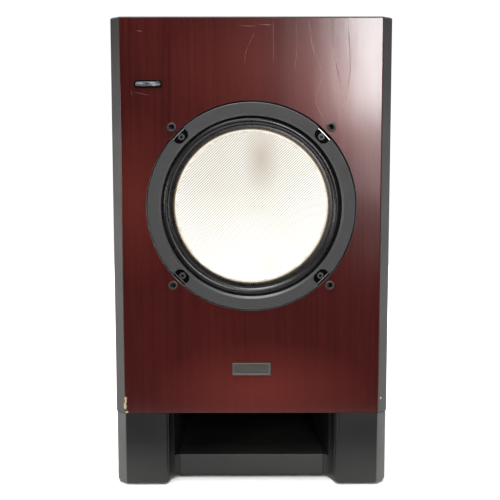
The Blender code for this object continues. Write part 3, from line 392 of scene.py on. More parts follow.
def make_finishes():
    return {
        "veneer": veneer(),
        "lacquer": lifted_lacquer_painted_highlight(),
        "chamfer": satin_black("chamfer_black", "#1a1715", "#262220", 0.12, chips=True),
        "cabinet": satin_black("cabinet_black", "#0f0e0d", "#181614", gloss=0.24),
        "plinth": satin_black("plinth_black", "#090a0a", "#111212", 0.08, gloss=0.2, painted_floor_bounce=True),
        # Painted light: the slot's lip takes a lighter copy of the plinth's paint.
        "plinth_lip_painted_light": satin_black("plinth_lip_painted_light", "#1b1c1b", "#292a28", 0.1, gloss=0.3),
        # Painted reflection: the feet's outer chamfers take a lighter copy of the plinth's paint for the pale
        # floor that they mirror.
        "plinth_chamfer_painted_reflection": satin_black("plinth_chamfer_painted_reflection", "#2c2c2a", "#3c3c39", 0.16),
        "fibreboard": fibres("raw_fibreboard", "#8b6c45", "#bd9c70", 1400, 0.8),
        "stained": fibres("stained_fibreboard", "#0d0b0a", "#1b1714", 1400, 0.8),
        "ring": moulded("ring_plastic", "#191a1a", "#343535", 0.56, 0.7, 2000),
        # Painted highlight, partly a real polish from handling: a lighter, glossier copy of the ring's
        # plastic, for the ring's bevels and the fronts of the driver screws' heads.
        "painted_highlight_grey": moulded("painted_highlight_grey", "#2c2d2d", "#383939", 0.40, 0.15, 2000),
        "plastic": moulded("black_plastic", "#0d0d0e", "#171718", 0.42, 0.35, 2600),
        "socket": moulded("socket_plastic", "#1c1918", "#2a2524", 0.5, 0.3, 2600),
        "rubber": rubber(),
        "pad_rubber": rubber("pad_rubber", "#101010", "#1d1d1d", 0.7),
        "steel_black": metal("black_steel", "#040405", "#090909", 0.5, metallic=0.0, gloss=0.03),
        "powder": moulded("powder_coat", "#0e0e0f", "#18181a", 0.5, 0.5, 1500),
        "screw_dark": metal("screw_dark", "#0b0b0c", "#161617", 0.4, metallic=0.3, gloss=0.2),
        "screw": metal("screw_black", "#2c2c2f", "#434347", 0.24, metallic=0.8),
        "steel": metal("zinc_steel", "#8f9092", "#b9babd", 0.32),
        "aluminium": metal("aluminium", "#a6a7aa", "#c6c7ca", 0.3, (1, 1, 0.05)),
        "anodised": metal("black_anodised", "#0f1012", "#1b1c1f", 0.36, (1, 1, 0.03), 0.7),
        "ferrite": moulded("ferrite", "#2a2a2c", "#3a3a3d", 0.6, 0.4, 1800),
        "copper": metal("copper", "#a4562f", "#d4865a", 0.28, (1, 0.02, 1)),
        "gold": metal("gold_plating", "#b98b3c", "#e0b765", 0.18),
        "cone": woven_fibre(),
        "rim": rim_resin(),
        "fray": fibres("frayed_yarn", "#5d4d30", "#a8946a", 2600, 0.8),
        "cloth": fibres("spider_cloth", "#8f6a30", "#c59a55", 1600, 0.8),
        "wadding": fibres("wadding", "#a8a8a4", "#dcdcd8", 350, 0.95),
        "board": circuit_board(),
        "badge": metal("badge_plate", "#3a3a37", "#474743", 0.45, (0.05, 1, 1), 0.6, 1500),
        "badge_rim": metal("badge_rim", "#42423f", "#4e4e4b", 0.5, (0.1, 1, 1), 0.3, 1500, gloss=0.3),
        "silver": worn_silver(),
        "print": moulded("white_print", "#b9b9b5", "#d2d2ce", 0.55, 0.2, 2600),
        "red": moulded("red_plastic", "#8d1712", "#ad241c", 0.38, 0.2, 2600),
        "white": moulded("white_plastic", "#c9c7c0", "#e2e0d9", 0.38, 0.2, 2600),
    }


FINISH = make_finishes()


# ---------------------------------------------------------------- mesh helpers


def spot_on(axis, u, v, along):
    return Vector({"X": (along, u, v), "Y": (u, along, v), "Z": (u, v, along)}[axis])


def circle(radius, sides, centre=(0, 0), start=0.0):
    turns = [start + 2 * math.pi * k / sides for k in range(sides)]
    return [(centre[0] + radius * math.cos(a), centre[1] + radius * math.sin(a)) for a in turns]


def soften(points, radius=0.0, steps=4, closed=True):
    """Rounds the corners of a line. A point may carry its own radius as a third number."""
    rounded = []
    count = len(points)
    for k, point in enumerate(points):
        here = Vector(point[:2])
        reach = point[2] if len(point) > 2 else radius
        if reach <= 0 or (not closed and k in (0, count - 1)):
            rounded.append(tuple(here))
            continue
        before = Vector(points[k - 1][:2]) - here
        after = Vector(points[(k + 1) % count][:2]) - here
        half_angle = before.angle(after) / 2
        cut = min(reach / math.tan(half_angle), before.length * 0.49, after.length * 0.49)
        a = here + before.normalized() * cut
        b = here + after.normalized() * cut
        for j in range(steps + 1):
            t = j / steps
            rounded.append(tuple((1 - t) ** 2 * a + 2 * t * (1 - t) * here + t * t * b))
    return rounded


def rounded_box(width, height, radius, centre=(0, 0), steps=6):
    u, v = width / 2, height / 2
    corners = [(u, v), (-u, v), (-u, -v), (u, -v)]
    return soften([(centre[0] + a, centre[1] + b) for a, b in corners], radius, steps)


def placed(name, data):
    """A new object with this data, in the scene."""
    made = bpy.data.objects.new(name, data)
    bpy.context.scene.collection.objects.link(made)
    return made


def smooth(mesh, degrees):
    """Smooth shading, with the edges sharper than this kept sharp."""
    mesh.shade_smooth()
    mesh.set_sharp_from_angle(angle=math.radians(degrees))


def mesh_object(name, verts, faces, smooth_angle=35):
    mesh = bpy.data.meshes.new(name)
    mesh.from_pydata([tuple(v) for v in verts], [], faces)
    shape = bmesh.new()
    shape.from_mesh(mesh)
    bmesh.ops.recalc_face_normals(shape, faces=shape.faces)
    shape.to_mesh(mesh)
    shape.free()
    smooth(mesh, smooth_angle)
    return placed(name, mesh)


def loft(name, rings, closed=False, smooth_angle=35):
    """Skin through rings of points with equal counts, with flat ends unless it closes on itself."""
    count = len(rings[0])
    verts = [v for ring in rings for v in ring]
    faces = []
    for k in range(len(rings) if closed else len(rings) - 1):
        a, b = k * count, (k + 1) % len(rings) * count
        faces += [(a + j, a + (j + 1) % count, b + (j + 1) % count, b + j) for j in range(count)]
    if not closed:
        faces += [tuple(range(count)), tuple(range((len(rings) - 1) * count, len(rings) * count))]
    return mesh_object(name, verts, faces, smooth_angle)


def prism(name, outline, axis, low, high):
    return loft(name, [[spot_on(axis, u, v, along) for u, v in outline] for along in (low, high)])


def stacked(name, centre, levels, smooth_angle=35):
    """A solid through rounded rectangles: width, height, corner and depth of each."""
    rings = []
    for width, height, corner, along in levels:
        outline = rounded_box(width, height, max(0.0002, corner), centre, 8)
        rings.append([spot_on("Y", u, v, along) for u, v in outline])
    return loft(name, rings, smooth_angle=smooth_angle)


def turned(name, profile, centre, sides=128, axis="Y", closed=True, smooth_angle=35):
    """A ring-shaped solid if closed; otherwise the profile starts and ends on the axis."""
    across, up, along_axis = {"X": (1, 2, 0), "Y": (0, 2, 1), "Z": (0, 1, 2)}[axis]
    u0, v0, base = centre[across], centre[up], centre[along_axis]
    verts, faces, starts = [], [], []
    for radius, along in profile:
        tip = radius < 1e-9
        starts.append((len(verts), tip))
        ring = [(u0, v0)] if tip else circle(radius, sides, (u0, v0))
        verts += [spot_on(axis, u, v, base + along) for u, v in ring]
    for (a, a_tip), (b, b_tip) in zip(starts, starts[1:] + starts[:1] if closed else starts[1:]):
        for j in range(sides):
            n = (j + 1) % sides
            if a_tip and b_tip:
                continue
            if a_tip:
                faces.append((a, b + n, b + j))
            elif b_tip:
                faces.append((a + j, a + n, b))
            else:
                faces.append((a + j, a + n, b + n, b + j))
    return mesh_object(name, verts, faces, smooth_angle)


def tube(name, places, thickness, resolution, radii):
    """A closed round thread along a smooth curve; the radii scale its thickness at each place."""
    curve = bpy.data.curves.new(name, "CURVE")
    curve.dimensions = "3D"
    curve.bevel_depth = thickness
    curve.bevel_resolution = resolution
    curve.use_fill_caps = True
    spline = curve.splines.new("BEZIER")
    spline.bezier_points.add(len(places) - 1)
    for dot, place, radius in zip(spline.bezier_points, places, radii):
        dot.co = place
        dot.handle_left_type = dot.handle_right_type = "AUTO"
        dot.radius = radius
    guide = placed(name, curve)
    graph = bpy.context.evaluated_depsgraph_get()
    mesh = bpy.data.meshes.new_from_object(guide.evaluated_get(graph), depsgraph=graph)
    made = placed(guide.name, mesh)
    bpy.data.objects.remove(guide)
    return made


def cross_recess(centre, width, depth, axis):
    """Cutter for a cross drive."""
    outline = []
    arm, half = width / 2, width * 0.11
    for sx, sy in ((1, 1), (-1, 1), (-1, -1), (1, -1)):
        corner = [(sx * u, sy * v) for u, v in ((arm, half), (half, half), (half, arm))]
        outline += corner if sx * sy > 0 else corner[::-1]
    u0, v0, base = centre
    return prism("drive", [(u0 + u, v0 + v) for u, v in outline], axis, base + depth[0], base + depth[1])


def cut(target, *tools):
    """Takes the tools out of the target's mesh and removes them. The tools stay clear of one another."""
    tool = merge("tools", tools) if len(tools) > 1 else tools[0]
    change = target.modifiers.new("cut", "BOOLEAN")
    change.operation = "DIFFERENCE"
    change.solver = "EXACT"
    change.object = tool
    settle(target)
    bpy.data.objects.remove(tool)
    return target


def settle(target):
    """Replaces an object's mesh with what its modifiers make of it."""
    graph = bpy.context.evaluated_depsgraph_get()
    done = bpy.data.meshes.new_from_object(target.evaluated_get(graph), depsgraph=graph)
    target.modifiers.clear()
    target.data = done
    return target


def merge(name, objects):
    """One object out of several."""
    shape = bmesh.new()
    for obj in objects:
        shape.from_mesh(obj.data)
    mesh = bpy.data.meshes.new(name)
    shape.to_mesh(mesh)
    shape.free()
    for obj in objects:
        bpy.data.objects.remove(obj)
    return placed(name, mesh)


def ease_edges(target, width, segments=3, angle=32):
    """Rounds sharp edges and keeps the flats looking flat."""
    round_over = target.modifiers.new("ease", "BEVEL")
    round_over.width = width
    round_over.segments = segments
    round_over.limit_method = "ANGLE"
    round_over.angle_limit = math.radians(angle)
    round_over.use_clamp_overlap = True
    settle(target)
    target.data.shade_smooth()
    even = target.modifiers.new("even", "WEIGHTED_NORMAL")
    even.keep_sharp = False
    even.weight = 80
    return settle(target)


def paint(target, *finishes, choose=None):
    """Gives the piece its finishes; choose(middle, normal) tells which of several a face takes."""
    target.data.materials.clear()
    for finish in finishes:
        target.data.materials.append(FINISH[finish])
    if choose:
        for face in target.data.polygons:
            face.material_index = int(choose(face.center, face.normal))
    return target


def stand_for(piece, *nodes):
    """The piece rides on the first node's body and is shown in place of the nodes."""
    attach(piece, NODE_BODY[nodes[0]])
    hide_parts(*nodes)
    return piece


def extra(piece, body):
    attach(piece, body)
    return piece


def eased_copy(node, finish, width, segments=3):
    """The CAD solid again, with its flat faces whole and its edges rounded."""
    shape = bmesh.new()
    shape.from_mesh(frame["nodes"][node].data)
    bmesh.ops.remove_doubles(shape, verts=shape.verts, dist=1e-6)
    flat = math.radians(1.5)
    bmesh.ops.dissolve_limit(shape, angle_limit=flat, verts=shape.verts, edges=shape.edges)
    mesh = bpy.data.meshes.new(node)
    shape.to_mesh(mesh)
    shape.free()
    piece = placed(node + "_finished", mesh)
    ease_edges(piece, width, segments)
    return stand_for(paint(piece, finish), node)


def node_middle(node):
    low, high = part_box(node)
    return (low + high) / 2


def from_axis(point):
    """Distance from the woofer's axis."""
    return math.hypot(point.x - AXIS.x, point.z - AXIS.z)


def hole(name, radius, middle, low, high, sides, axis="Y"):
    """Round cutter, from low to high along the axis."""
    profile = [(0, low), (radius, low), (radius, high), (0, high)]
    return turned(name, profile, middle, sides, axis, closed=False)


# ---------------------------------------------------------------- cabinet


def socket_places():
    middles = [node_middle(f"grille_socket_{k}") for k in range(1, 5)]
    return [(middle.x, middle.z) for middle in middles]


def baffle():
    """Front board with eased chamfers and a rounded top edge, bored for the woofer and the grille's pegs."""
    back = BAFFLE_HIGH.y
    half_outline = [
        (HALF_WIDTH - CHAMFER, FACE, 0.0022),
        (HALF_WIDTH, FACE + CHAMFER, 0.0050),
        (HALF_WIDTH, back, 0.0006),
    ]
    mirrored = [(-x, y, radius) for x, y, radius in reversed(half_outline)]
    outline = soften(mirrored + half_outline, steps=6)
    crown = 0.0018
    levels = [(BASE_TOP, 0.0)]
    for k in range(6):
        turn = math.pi / 2 * k / 5
        levels.append((TOP - crown * (1 - math.sin(turn)), crown * (1 - math.cos(turn))))
    rings = []
    for z, drawn_in in levels:
        points = zip(outline, inset(outline, drawn_in) if drawn_in else outline)
        rings.append([(*(old if old[1] > back - 0.002 else new), z) for old, new in points])
    board = loft("front_board", rings)
    profile = [
        (0, -BEYOND),
        (REBATE_RADIUS, -BEYOND),
        (REBATE_RADIUS, REBATE_DEPTH),
        (CUTOUT_RADIUS, REBATE_DEPTH),
        (CUTOUT_RADIUS, back - FACE + BEYOND),
        (0, back - FACE + BEYOND),
    ]
    tools = [turned("rebate", profile, AXIS, 160, closed=False)]
    places = [(x, FACE, z) for x, z in socket_places()]
    tools += [hole("bore", SOCKET_BORE, place, -BEYOND, SOCKET_BORE_DEPTH, 48) for place in places]
    cut(board, *tools)
    ease_edges(board, 0.0007, 3)

    def choose(middle, normal):
        inside = middle.y > FACE + 0.0012 and abs(middle.x) < HALF_WIDTH - CHAMFER - 0.001
        inside = inside and BASE_TOP + 0.002 < middle.z < TOP - 0.002
        rounded_top = middle.z > TOP - 0.0017 and normal.y < -0.1
        if normal.y < -0.93 and middle.y < FACE + 0.0008 and middle.z < TOP - 0.0002:
            return 0
        return 2 if inside or rounded_top else 1

    stand_for(paint(board, "veneer", "chamfer", "stained", choose=choose), "front_baffle")


def lacquer_cracks():
    """Raised hairlines where the coat has lifted, upper right of the woofer."""
    wide, fine, hair = 0.00042, 0.00028, 0.00014
    routes = [
        (wide, [(0.0775, 0.4625), (0.0790, 0.4330), (0.0835, 0.4120), (0.0875, 0.3960), (0.0892, 0.3800)]),
        (wide, [(0.0925, 0.4625), (0.0945, 0.4350), (0.0950, 0.4080), (0.0905, 0.3850), (0.0860, 0.3640)]),
        (fine, [(0.0555, 0.4610), (0.0590, 0.4360), (0.0655, 0.4190), (0.0705, 0.4110)]),
        (fine, [(0.0705, 0.4110), (0.0660, 0.3990), (0.0620, 0.3880), (0.0655, 0.3760), (0.0745, 0.3620)]),
        (hair, [(0.0430, 0.4610), (0.0440, 0.4380), (0.0425, 0.4210), (0.0405, 0.4050)]),
        (hair, [(0.0210, 0.4590), (0.0215, 0.4330), (0.0205, 0.4100)]),
        (hair, [(0.0020, 0.4480), (-0.0055, 0.4290), (-0.0060, 0.4080)]),
        (hair, [(0.0660, 0.3990), (0.0530, 0.3905)]),
    ]
    lines = []
    for thickness, route in routes:
        places = [(x, FACE + thickness * 0.45, z) for x, z in route]
        radii = [0.7] + [0.95 if thickness == wide else 0.75] * (len(route) - 2) + [0.25]
        lines.append(tube("crack", places, thickness, 2, radii))
    extra(paint(merge("lacquer_cracks", lines), "lacquer"), "cabinet")


def scratches():
    """Short dry scratches in the lacquer near the top and beside the slim badge."""
    strokes = [
        ((-0.0130, 0.4560), (0.0050, 0.4556)),
        ((0.0080, 0.4572), (0.0215, 0.4568)),
        ((0.0210, 0.4568), (0.0213, 0.4535)),
        ((-0.1115, 0.4515), (-0.1040, 0.4508)),
        ((-0.1150, 0.3935), (-0.0985, 0.3900)),
        ((-0.1165, 0.3960), (-0.1150, 0.3890)),
    ]
    lines = []
    width, proud = 0.00016, 0.00006
    for start, end in strokes:
        start, end = Vector(start), Vector(end)
        along = (end - start).normalized()
        aside, middle = Vector((-along.y, along.x)) * width, (start + end) / 2
        outline = [start, middle + aside, end, middle - aside]
        lines.append(prism("scratch", outline, "Y", FACE - proud, FACE + proud))
    extra(paint(merge("lacquer_scratches", lines), "lacquer"), "cabinet")


def cabinet():
    baffle()
    lacquer_cracks()
    scratches()
    for node in ("left_side_panel", "right_side_panel", "top_panel", "bottom_panel", "rear_panel"):
        eased_copy(node, "cabinet", 0.0005, 2)
    eased_copy("window_brace", "fibreboard", 0.0006, 2)
    eased_copy("slot_duct", "plastic", 0.0006, 2)
    eased_copy("damping_mat", "wadding", 0.004, 3)


# ---------------------------------------------------------------- plinth


def inset(outline, distance):
    """The outline moved inwards; it runs round the solid anticlockwise or clockwise."""
    points = [Vector(p) for p in outline]
    area = sum(a.x * b.y - b.x * a.y for a, b in zip(points, points[1:] + points[:1]))
    sign = 1 if area > 0 else -1
    moved = []
    for k, here in enumerate(points):
        a = (here - points[k - 1]).normalized()
        b = (points[(k + 1) % len(points)] - here).normalized()
        along = (a + b).normalized()
        inward = Vector((-along.y, along.x)) * sign
        moved.append(tuple(here + inward * distance / max(0.4, math.sqrt((1 + a.dot(b)) / 2))))
    return moved


def bezier(points, steps):
    """Points along a cubic curve."""
    found = []
    for k in range(steps + 1):
        t = k / steps
        weights = ((1 - t) ** 3, 3 * t * (1 - t) ** 2, 3 * t * t * (1 - t), t**3)
        found.append(tuple(sum((w * Vector(p) for w, p in zip(weights, points)), Vector((0, 0)))))
    return found


def foot(side, node):
    """One side of the plinth; its inner wall sweeps back from the front face to the lip of the slot."""
    low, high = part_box(node)
    outer, inner = max(abs(low.x), abs(high.x)), min(abs(low.x), abs(high.x))
    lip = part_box("slot_floor")[0].y
    outline = soften(
        [
            (outer, high.y, 0.004),
            (outer, FACE + CHAMFER, 0.0060),
            (outer - CHAMFER, FACE, 0.0030),
            (MOUTH_HALF_WIDTH, FACE, 0.0042),
        ],
        steps=6,
    )
    sweep = [(0.0838, FACE + 0.0050), (0.0832, FACE + 0.0120), (0.0805, lip - 0.0015), (inner, lip)]
    outline += bezier(sweep, 12)
    rear_corner = [(inner, lip), (inner, high.y - 0.001, 0.003), (outer, high.y)]
    outline += soften(rear_corner, steps=4, closed=False)[1:-1]
    outline = [(side * x, y) for x, y in outline]
    rings = []
    edge, crown, steps = 0.0040, 0.0009, 7
    for k in range(steps):
        turn = math.pi / 2 * k / (steps - 1)
        rings.append((inset(outline, edge * (1 - math.sin(turn))), low.z + edge * (1 - math.cos(turn))))
    for k in range(4):
        turn = math.pi / 2 * k / 3
        rings.append((inset(outline, crown * (1 - math.cos(turn))), high.z - crown * (1 - math.sin(turn))))
    block = loft(node + "_finished", [[(x, y, z) for x, y in ring] for ring, z in rings])
    pads = [(x, y, 0) for x, y in pad_places() if x * side > 0]
    tools = [hole("recess", PAD_RECESS, place, -BEYOND, 0.0033, 64, "Z") for place in pads]
    for y in plinth_screw_places():
        tools.append(hole("hole", SCREW_WELL, (side * PAD_X, y, 0), -BEYOND, 0.0345, 40, "Z"))
    flare = [(inner - 0.001, lip - 0.004), (0.0800, lip - 0.004), (0.0796, lip + 0.002)]
    flare = [(side * x, y) for x, y in (*flare, (inner - 0.001, lip + 0.050))]
    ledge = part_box("slot_floor")[1].z
    tools.append(prism("flare", flare, "Z", ledge - 0.0003, BASE_TOP + BEYOND))
    cut(block, *tools)
    smooth(block.data, 30)

    # The outer chamfers take the lighter paint, a painted reflection of the floor.
    def on_outer_chamfer(middle, normal):
        outward = normal.x * side > 0.35 and normal.y < -0.35
        return outward and abs(middle.x) > outer - CHAMFER - 0.001

    stand_for(paint(block, "plinth", "plinth_chamfer_painted_reflection", choose=on_outer_chamfer), node)


def pad_places():
    middles = [node_middle(f"rubber_pad_{k}") for k in range(1, 5)]
    return [(middle.x, middle.y) for middle in middles]


PAD_X = max(x for x, _ in pad_places())


def plinth_screw_places():
    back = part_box("left_foot")[1].y
    return (FACE + 0.090, back - 0.090)


def slot_lip():
    """Floor of the slot, with a rounded lip that runs into the feet so that no seam shows."""
    low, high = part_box("slot_floor")
    front, overlap = low.y - 0.0009, 0.0012
    corners = [(front, low.z, 0.0040), (front, high.z, 0.0020), (high.y, high.z), (high.y, low.z)]
    outline = soften(corners, steps=6)
    floor = prism("slot_floor_finished", outline, "X", low.x - overlap, high.x + overlap)
    ease_edges(floor, 0.0010, 3, 60)
    # The lip is painted in the lighter copy of the plinth's paint, as painted light.
    stand_for(paint(floor, "plinth_lip_painted_light"), "slot_floor")


def rubber_pads():
    for k in range(1, 5):
        node = f"rubber_pad_{k}"
        low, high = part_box(node)
        middle, radius = node_middle(node), (high.x - low.x) / 2
        dished = [(0, 0.0006), (radius - 0.0050, 0.0006), (radius - 0.0042, 0, 0.0006)]
        profile = soften(
            [*dished, (radius, 0, 0.0009), (radius, 0.003), (0, 0.003)], 0.0002, closed=False
        )
        pad = turned(node + "_finished", profile, (middle.x, middle.y, low.z), 72, "Z", closed=False)
        stand_for(paint(pad, "pad_rubber"), node)


def plinth_screws():
    seat, top = 0.0305, 0.0344
    profile = [(0, seat), (0.0036, 0.0308, 0.001), (0.0050, 0.0328, 0.0006), (0.0050, top), (0, top)]
    screws = []
    for side in (-1, 1):
        for y in plinth_screw_places():
            place = (side * PAD_X, y, 0)
            screw = turned("screw", soften(profile, closed=False), place, 40, "Z", closed=False)
            screws.append(cut(screw, cross_recess(place, 0.0052, (0.030, 0.0325), "Z")))
    extra(paint(merge("plinth_screws", screws), "screw"), "cabinet")


def plinth():
    foot(-1, "left_foot")
    foot(1, "right_foot")
    slot_lip()
    eased_copy("slot_back", "plinth", 0.0006, 2)
    rubber_pads()
    plinth_screws()


# ---------------------------------------------------------------- front trim


def grille_sockets():
    """Cups for the pegs of a grille: a flanged collar with three slits, and a blind bore."""
    for k, (x, z) in enumerate(socket_places(), 1):
        node = f"grille_socket_{k}"
        low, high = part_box(node)
        depth, lip = high.y - FACE, low.y - FACE
        profile = [
            (0, depth - 0.001),
            (0.0031, depth - 0.001),
            (0.0030, 0.0035),
            (0.0025, 0.0015, 0.0004),
            (0.0025, lip + 0.0003, 0.0003),
            (0.0031, lip, 0.0003),
            (0.0045, lip + 0.0002, 0.0006),
            (0.0045, -0.0001),
            (0.0034, 0.0002),
            (0.0034, depth),
            (0, depth),
        ]
        outline = soften(profile, steps=3, closed=False)
        cup = turned(node + "_finished", outline, (x, FACE, z), 64, closed=False)
        reach, half = 0.0033, 0.0003
        for turn in range(3):
            corners = [(-reach, -half), (reach, -half), (reach, half), (-reach, half)]
            slit = prism("slit", corners, "Y", lip - 0.001, 0.003)
            spin = Matrix.Rotation(turn * math.pi / 3 + 0.4, 4, "Y")
            slit.data.transform(Matrix.Translation((x, FACE, z)) @ spin)
            cut(cup, slit)
        smooth(cup.data, 35)
        stand_for(paint(cup, "socket"), node)


def badge(node, corner, finishes, is_rim):
    """Blank plate with rounded front edges and a panel sunk a little inside its rim."""
    crown, rim, sink = 0.0003, 0.0013, 0.0004
    low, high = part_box(node)
    width, height, middle = high.x - low.x, high.z - low.z, node_middle(node)
    levels = []
    for reach, along in (
        (0, high.y),
        (0, low.y + crown),
        (crown * 0.3, low.y + crown * 0.3),
        (crown, low.y),
        (rim, low.y),
        (rim + sink, low.y + sink),
    ):
        levels.append((width - 2 * reach, height - 2 * reach, corner - reach, along))
    plate = stacked(node + "_finished", (middle.x, middle.z), levels)
    paint(plate, *finishes, choose=lambda middle, normal: is_rim(middle.y - low.y, normal))
    stand_for(plate, node)


def badges():
    badge("lower_badge", 0.0007, ("badge", "badge_rim"), lambda depth, normal: depth < 0.00035)
    badge(
        "slim_badge",
        0.0036,
        ("silver", "steel_black"),
        lambda depth, normal: depth <= 0.00020 or normal.y >= -0.9,
    )


# ---------------------------------------------------------------- woofer


def bay_cutter(turn, depth):
    """Keyhole-shaped opening that lays one driver screw bare."""
    bay = soften(
        [
            (0.0915, -0.0047, 0.0030),
            (0.0915, 0.0047, 0.0030),
            (0.0950, 0.0078, 0.0022),
            (0.1070, 0.0078),
            (0.1070, -0.0078),
            (0.0950, -0.0078, 0.0022),
        ],
        steps=6,
    )
    tool = prism("bay", bay, "Y", -depth, depth)
    tool.data.transform(Matrix.Translation(AXIS) @ Matrix.Rotation(turn, 4, "Y"))
    return tool


def trim_ring():
    """Moulded ring with bevelled edges and four open screw bays."""
    profile = [
        (RING_INNER, 0.0025),
        (RING_INNER, 0.0008, 0.0003),
        (RING_INNER + 0.0021, -PROUD, 0.0005),
        (RING_OUTER, -PROUD, 0.0009),
        (RING_OUTER, 0.0025),
    ]
    ring = turned("trim_ring_finished", soften(profile, steps=5), AXIS, 192)
    cut(ring, *[bay_cutter(math.pi / 4 + quarter * math.pi / 2, 0.012) for quarter in range(4)])
    ease_edges(ring, 0.00035, 3, 40)

    # The bevels take the lighter, glossier plastic: a painted highlight.
    def on_edge(middle, normal):
        reach = from_axis(middle)
        return (reach < RING_INNER + 0.0024 or reach > RING_OUTER - 0.0011) and normal.y > -0.995

    stand_for(paint(ring, "ring", "painted_highlight_grey", choose=on_edge), "trim_ring")


def basket():
    """Pressed frame, whose flange shows in the bays of the ring."""
    profile = [
        (0.1010, 0.0028, 0.0005),
        (0.0897, 0.0028, 0.0006),
        (0.0897, 0.0079),
        (0.0850, 0.0079),
        (0.0840, 0.0110, 0.001),
        (0.0680, 0.0535, 0.003),
        (0.0570, 0.0535, 0.003),
        (0.0540, 0.0753, 0.003),
        (0.0230, 0.0753),
        (0.0230, 0.0777),
        (0.0562, 0.0777, 0.001),
        (0.0590, 0.0557, 0.003),
        (0.0696, 0.0557, 0.003),
        (0.0863, 0.0118, 0.001),
        (0.0863, 0.0101),
        (0.0917, 0.0101, 0.0008),
        (0.0917, 0.0062, 0.0006),
        (0.1010, 0.0062, 0.0005),
    ]
    body = turned("basket_finished", soften(profile, steps=4), AXIS, 144)
    tools = []
    window = soften([(0.052, -0.0156), (0.110, -0.026), (0.110, 0.026), (0.052, 0.0156)], 0.004)
    for k in range(6):
        tool = prism("window", window, "Y", 0.0165, 0.0480)
        spin = Matrix.Rotation(math.pi / 6 + k * math.pi / 3, 4, "Y")
        tool.data.transform(Matrix.Translation(AXIS) @ spin)
        tools.append(tool)
    offset = SCREW_RADIUS * math.sqrt(0.5)
    for x in (-offset, offset):
        for z in (-offset, offset):
            tools.append(hole("hole", 0.0025, AXIS + Vector((x, 0, z)), -0.004, 0.012, 32))
    cut(body, *tools)
    smooth(body.data, 30)
    stand_for(paint(body, "steel_black"), "driver_basket")
    outline = [(0.1001, 0.0026), (0.1009, 0.0026, 0.0002), (0.1009, 0.0034), (0.1001, 0.0034)]
    bare_edge = turned("basket_bare_edge", soften(outline, steps=3), AXIS, 144)
    extra(paint(bare_edge, "steel"), "cabinet")


def driver_screws():
    """Cap screws with a hexagon socket, on a sprung washer."""
    profile = [
        (0, -0.0008),
        (0.0030, -0.0008, 0.0003),
        (0.0034, -0.0004, 0.0003),
        (0.0034, 0.0020, 0.0002),
        (0.0036, 0.0020),
        (0.0036, 0.0025),
        (0.0020, 0.0025),
        (0.0020, 0.0195, 0.0005),
        (0, 0.0205),
    ]
    outline = soften(profile, steps=4, closed=False)
    drill_point = [(0, 0.0006), (0.0008, 0.0006), (0.0008, 0.0012), (0, 0.0016)]
    for k in range(1, 5):
        node = f"driver_screw_{k}"
        x, _, z = node_middle(node)
        screw = turned(node + "_finished", outline, (x, FACE, z), 64, closed=False)
        hexagon = circle(0.0019, 6, (x, z), 0.3 * k)
        drill = turned("drill", drill_point, (x, FACE, z), 24, closed=False)
        cut(screw, prism("key", hexagon, "Y", FACE - BEYOND, FACE + 0.0011), drill)
        smooth(screw.data, 30)

        # The flat front of the head takes the lighter grey plastic, a painted highlight; the drill point in
        # the socket is bare steel.
        def choose(middle, normal):
            reach = math.hypot(middle.x - x, middle.z - z)
            if reach < 0.0009 and middle.y > FACE + 0.00112:
                return 1
            return 2 if 0.0016 < reach < 0.0032 and normal.y < -0.9 else 0

        stand_for(paint(screw, "screw_dark", "steel", "painted_highlight_grey", choose=choose), node)


def follow_cone(piece):
    """Bakes the piece's placement into its mesh."""
    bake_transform(piece)


def surround():
    """Half-roll edge: flat band glued behind the rim of the cone, roll, and outer foot."""
    outer, under = [], []
    steps = 28
    for k in range(steps + 1):
        a = math.pi * k / steps
        outer.append((ROLL_MIDDLE + ROLL_HALF_WIDTH * math.cos(a), ROLL_BASE - ROLL_HEIGHT * math.sin(a)))
        reach = ROLL_HALF_WIDTH - RUBBER
        under.append((ROLL_MIDDLE + reach * math.cos(a), ROLL_BASE + RUBBER - ROLL_HEIGHT * math.sin(a)))
    foot_radius = ROLL_MIDDLE + ROLL_HALF_WIDTH + 0.0006
    band = [(0.0790, ROLL_BASE), (0.0765, ROLL_BASE - 0.0002), (0.0755, ROLL_BASE), (0.0718, ROLL_BASE)]
    front = [(foot_radius, ROLL_BASE), *outer, *band]
    back = [(0.0718, ROLL_BASE + RUBBER), (0.0780, ROLL_BASE + RUBBER)]
    back += [*reversed(under), (foot_radius, ROLL_BASE + RUBBER)]
    ring = turned("surround_finished", front + back, AXIS, 192, smooth_angle=60)
    paint(ring, "rubber")
    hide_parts("surround")
    follow_cone(ring)


def dish_depth(radius):
    share = min(radius / CONE_RIM, 1.0)
    return CONE_EDGE_DEPTH - CONE_THICKNESS + CONE_DISH * (1 - share**2)


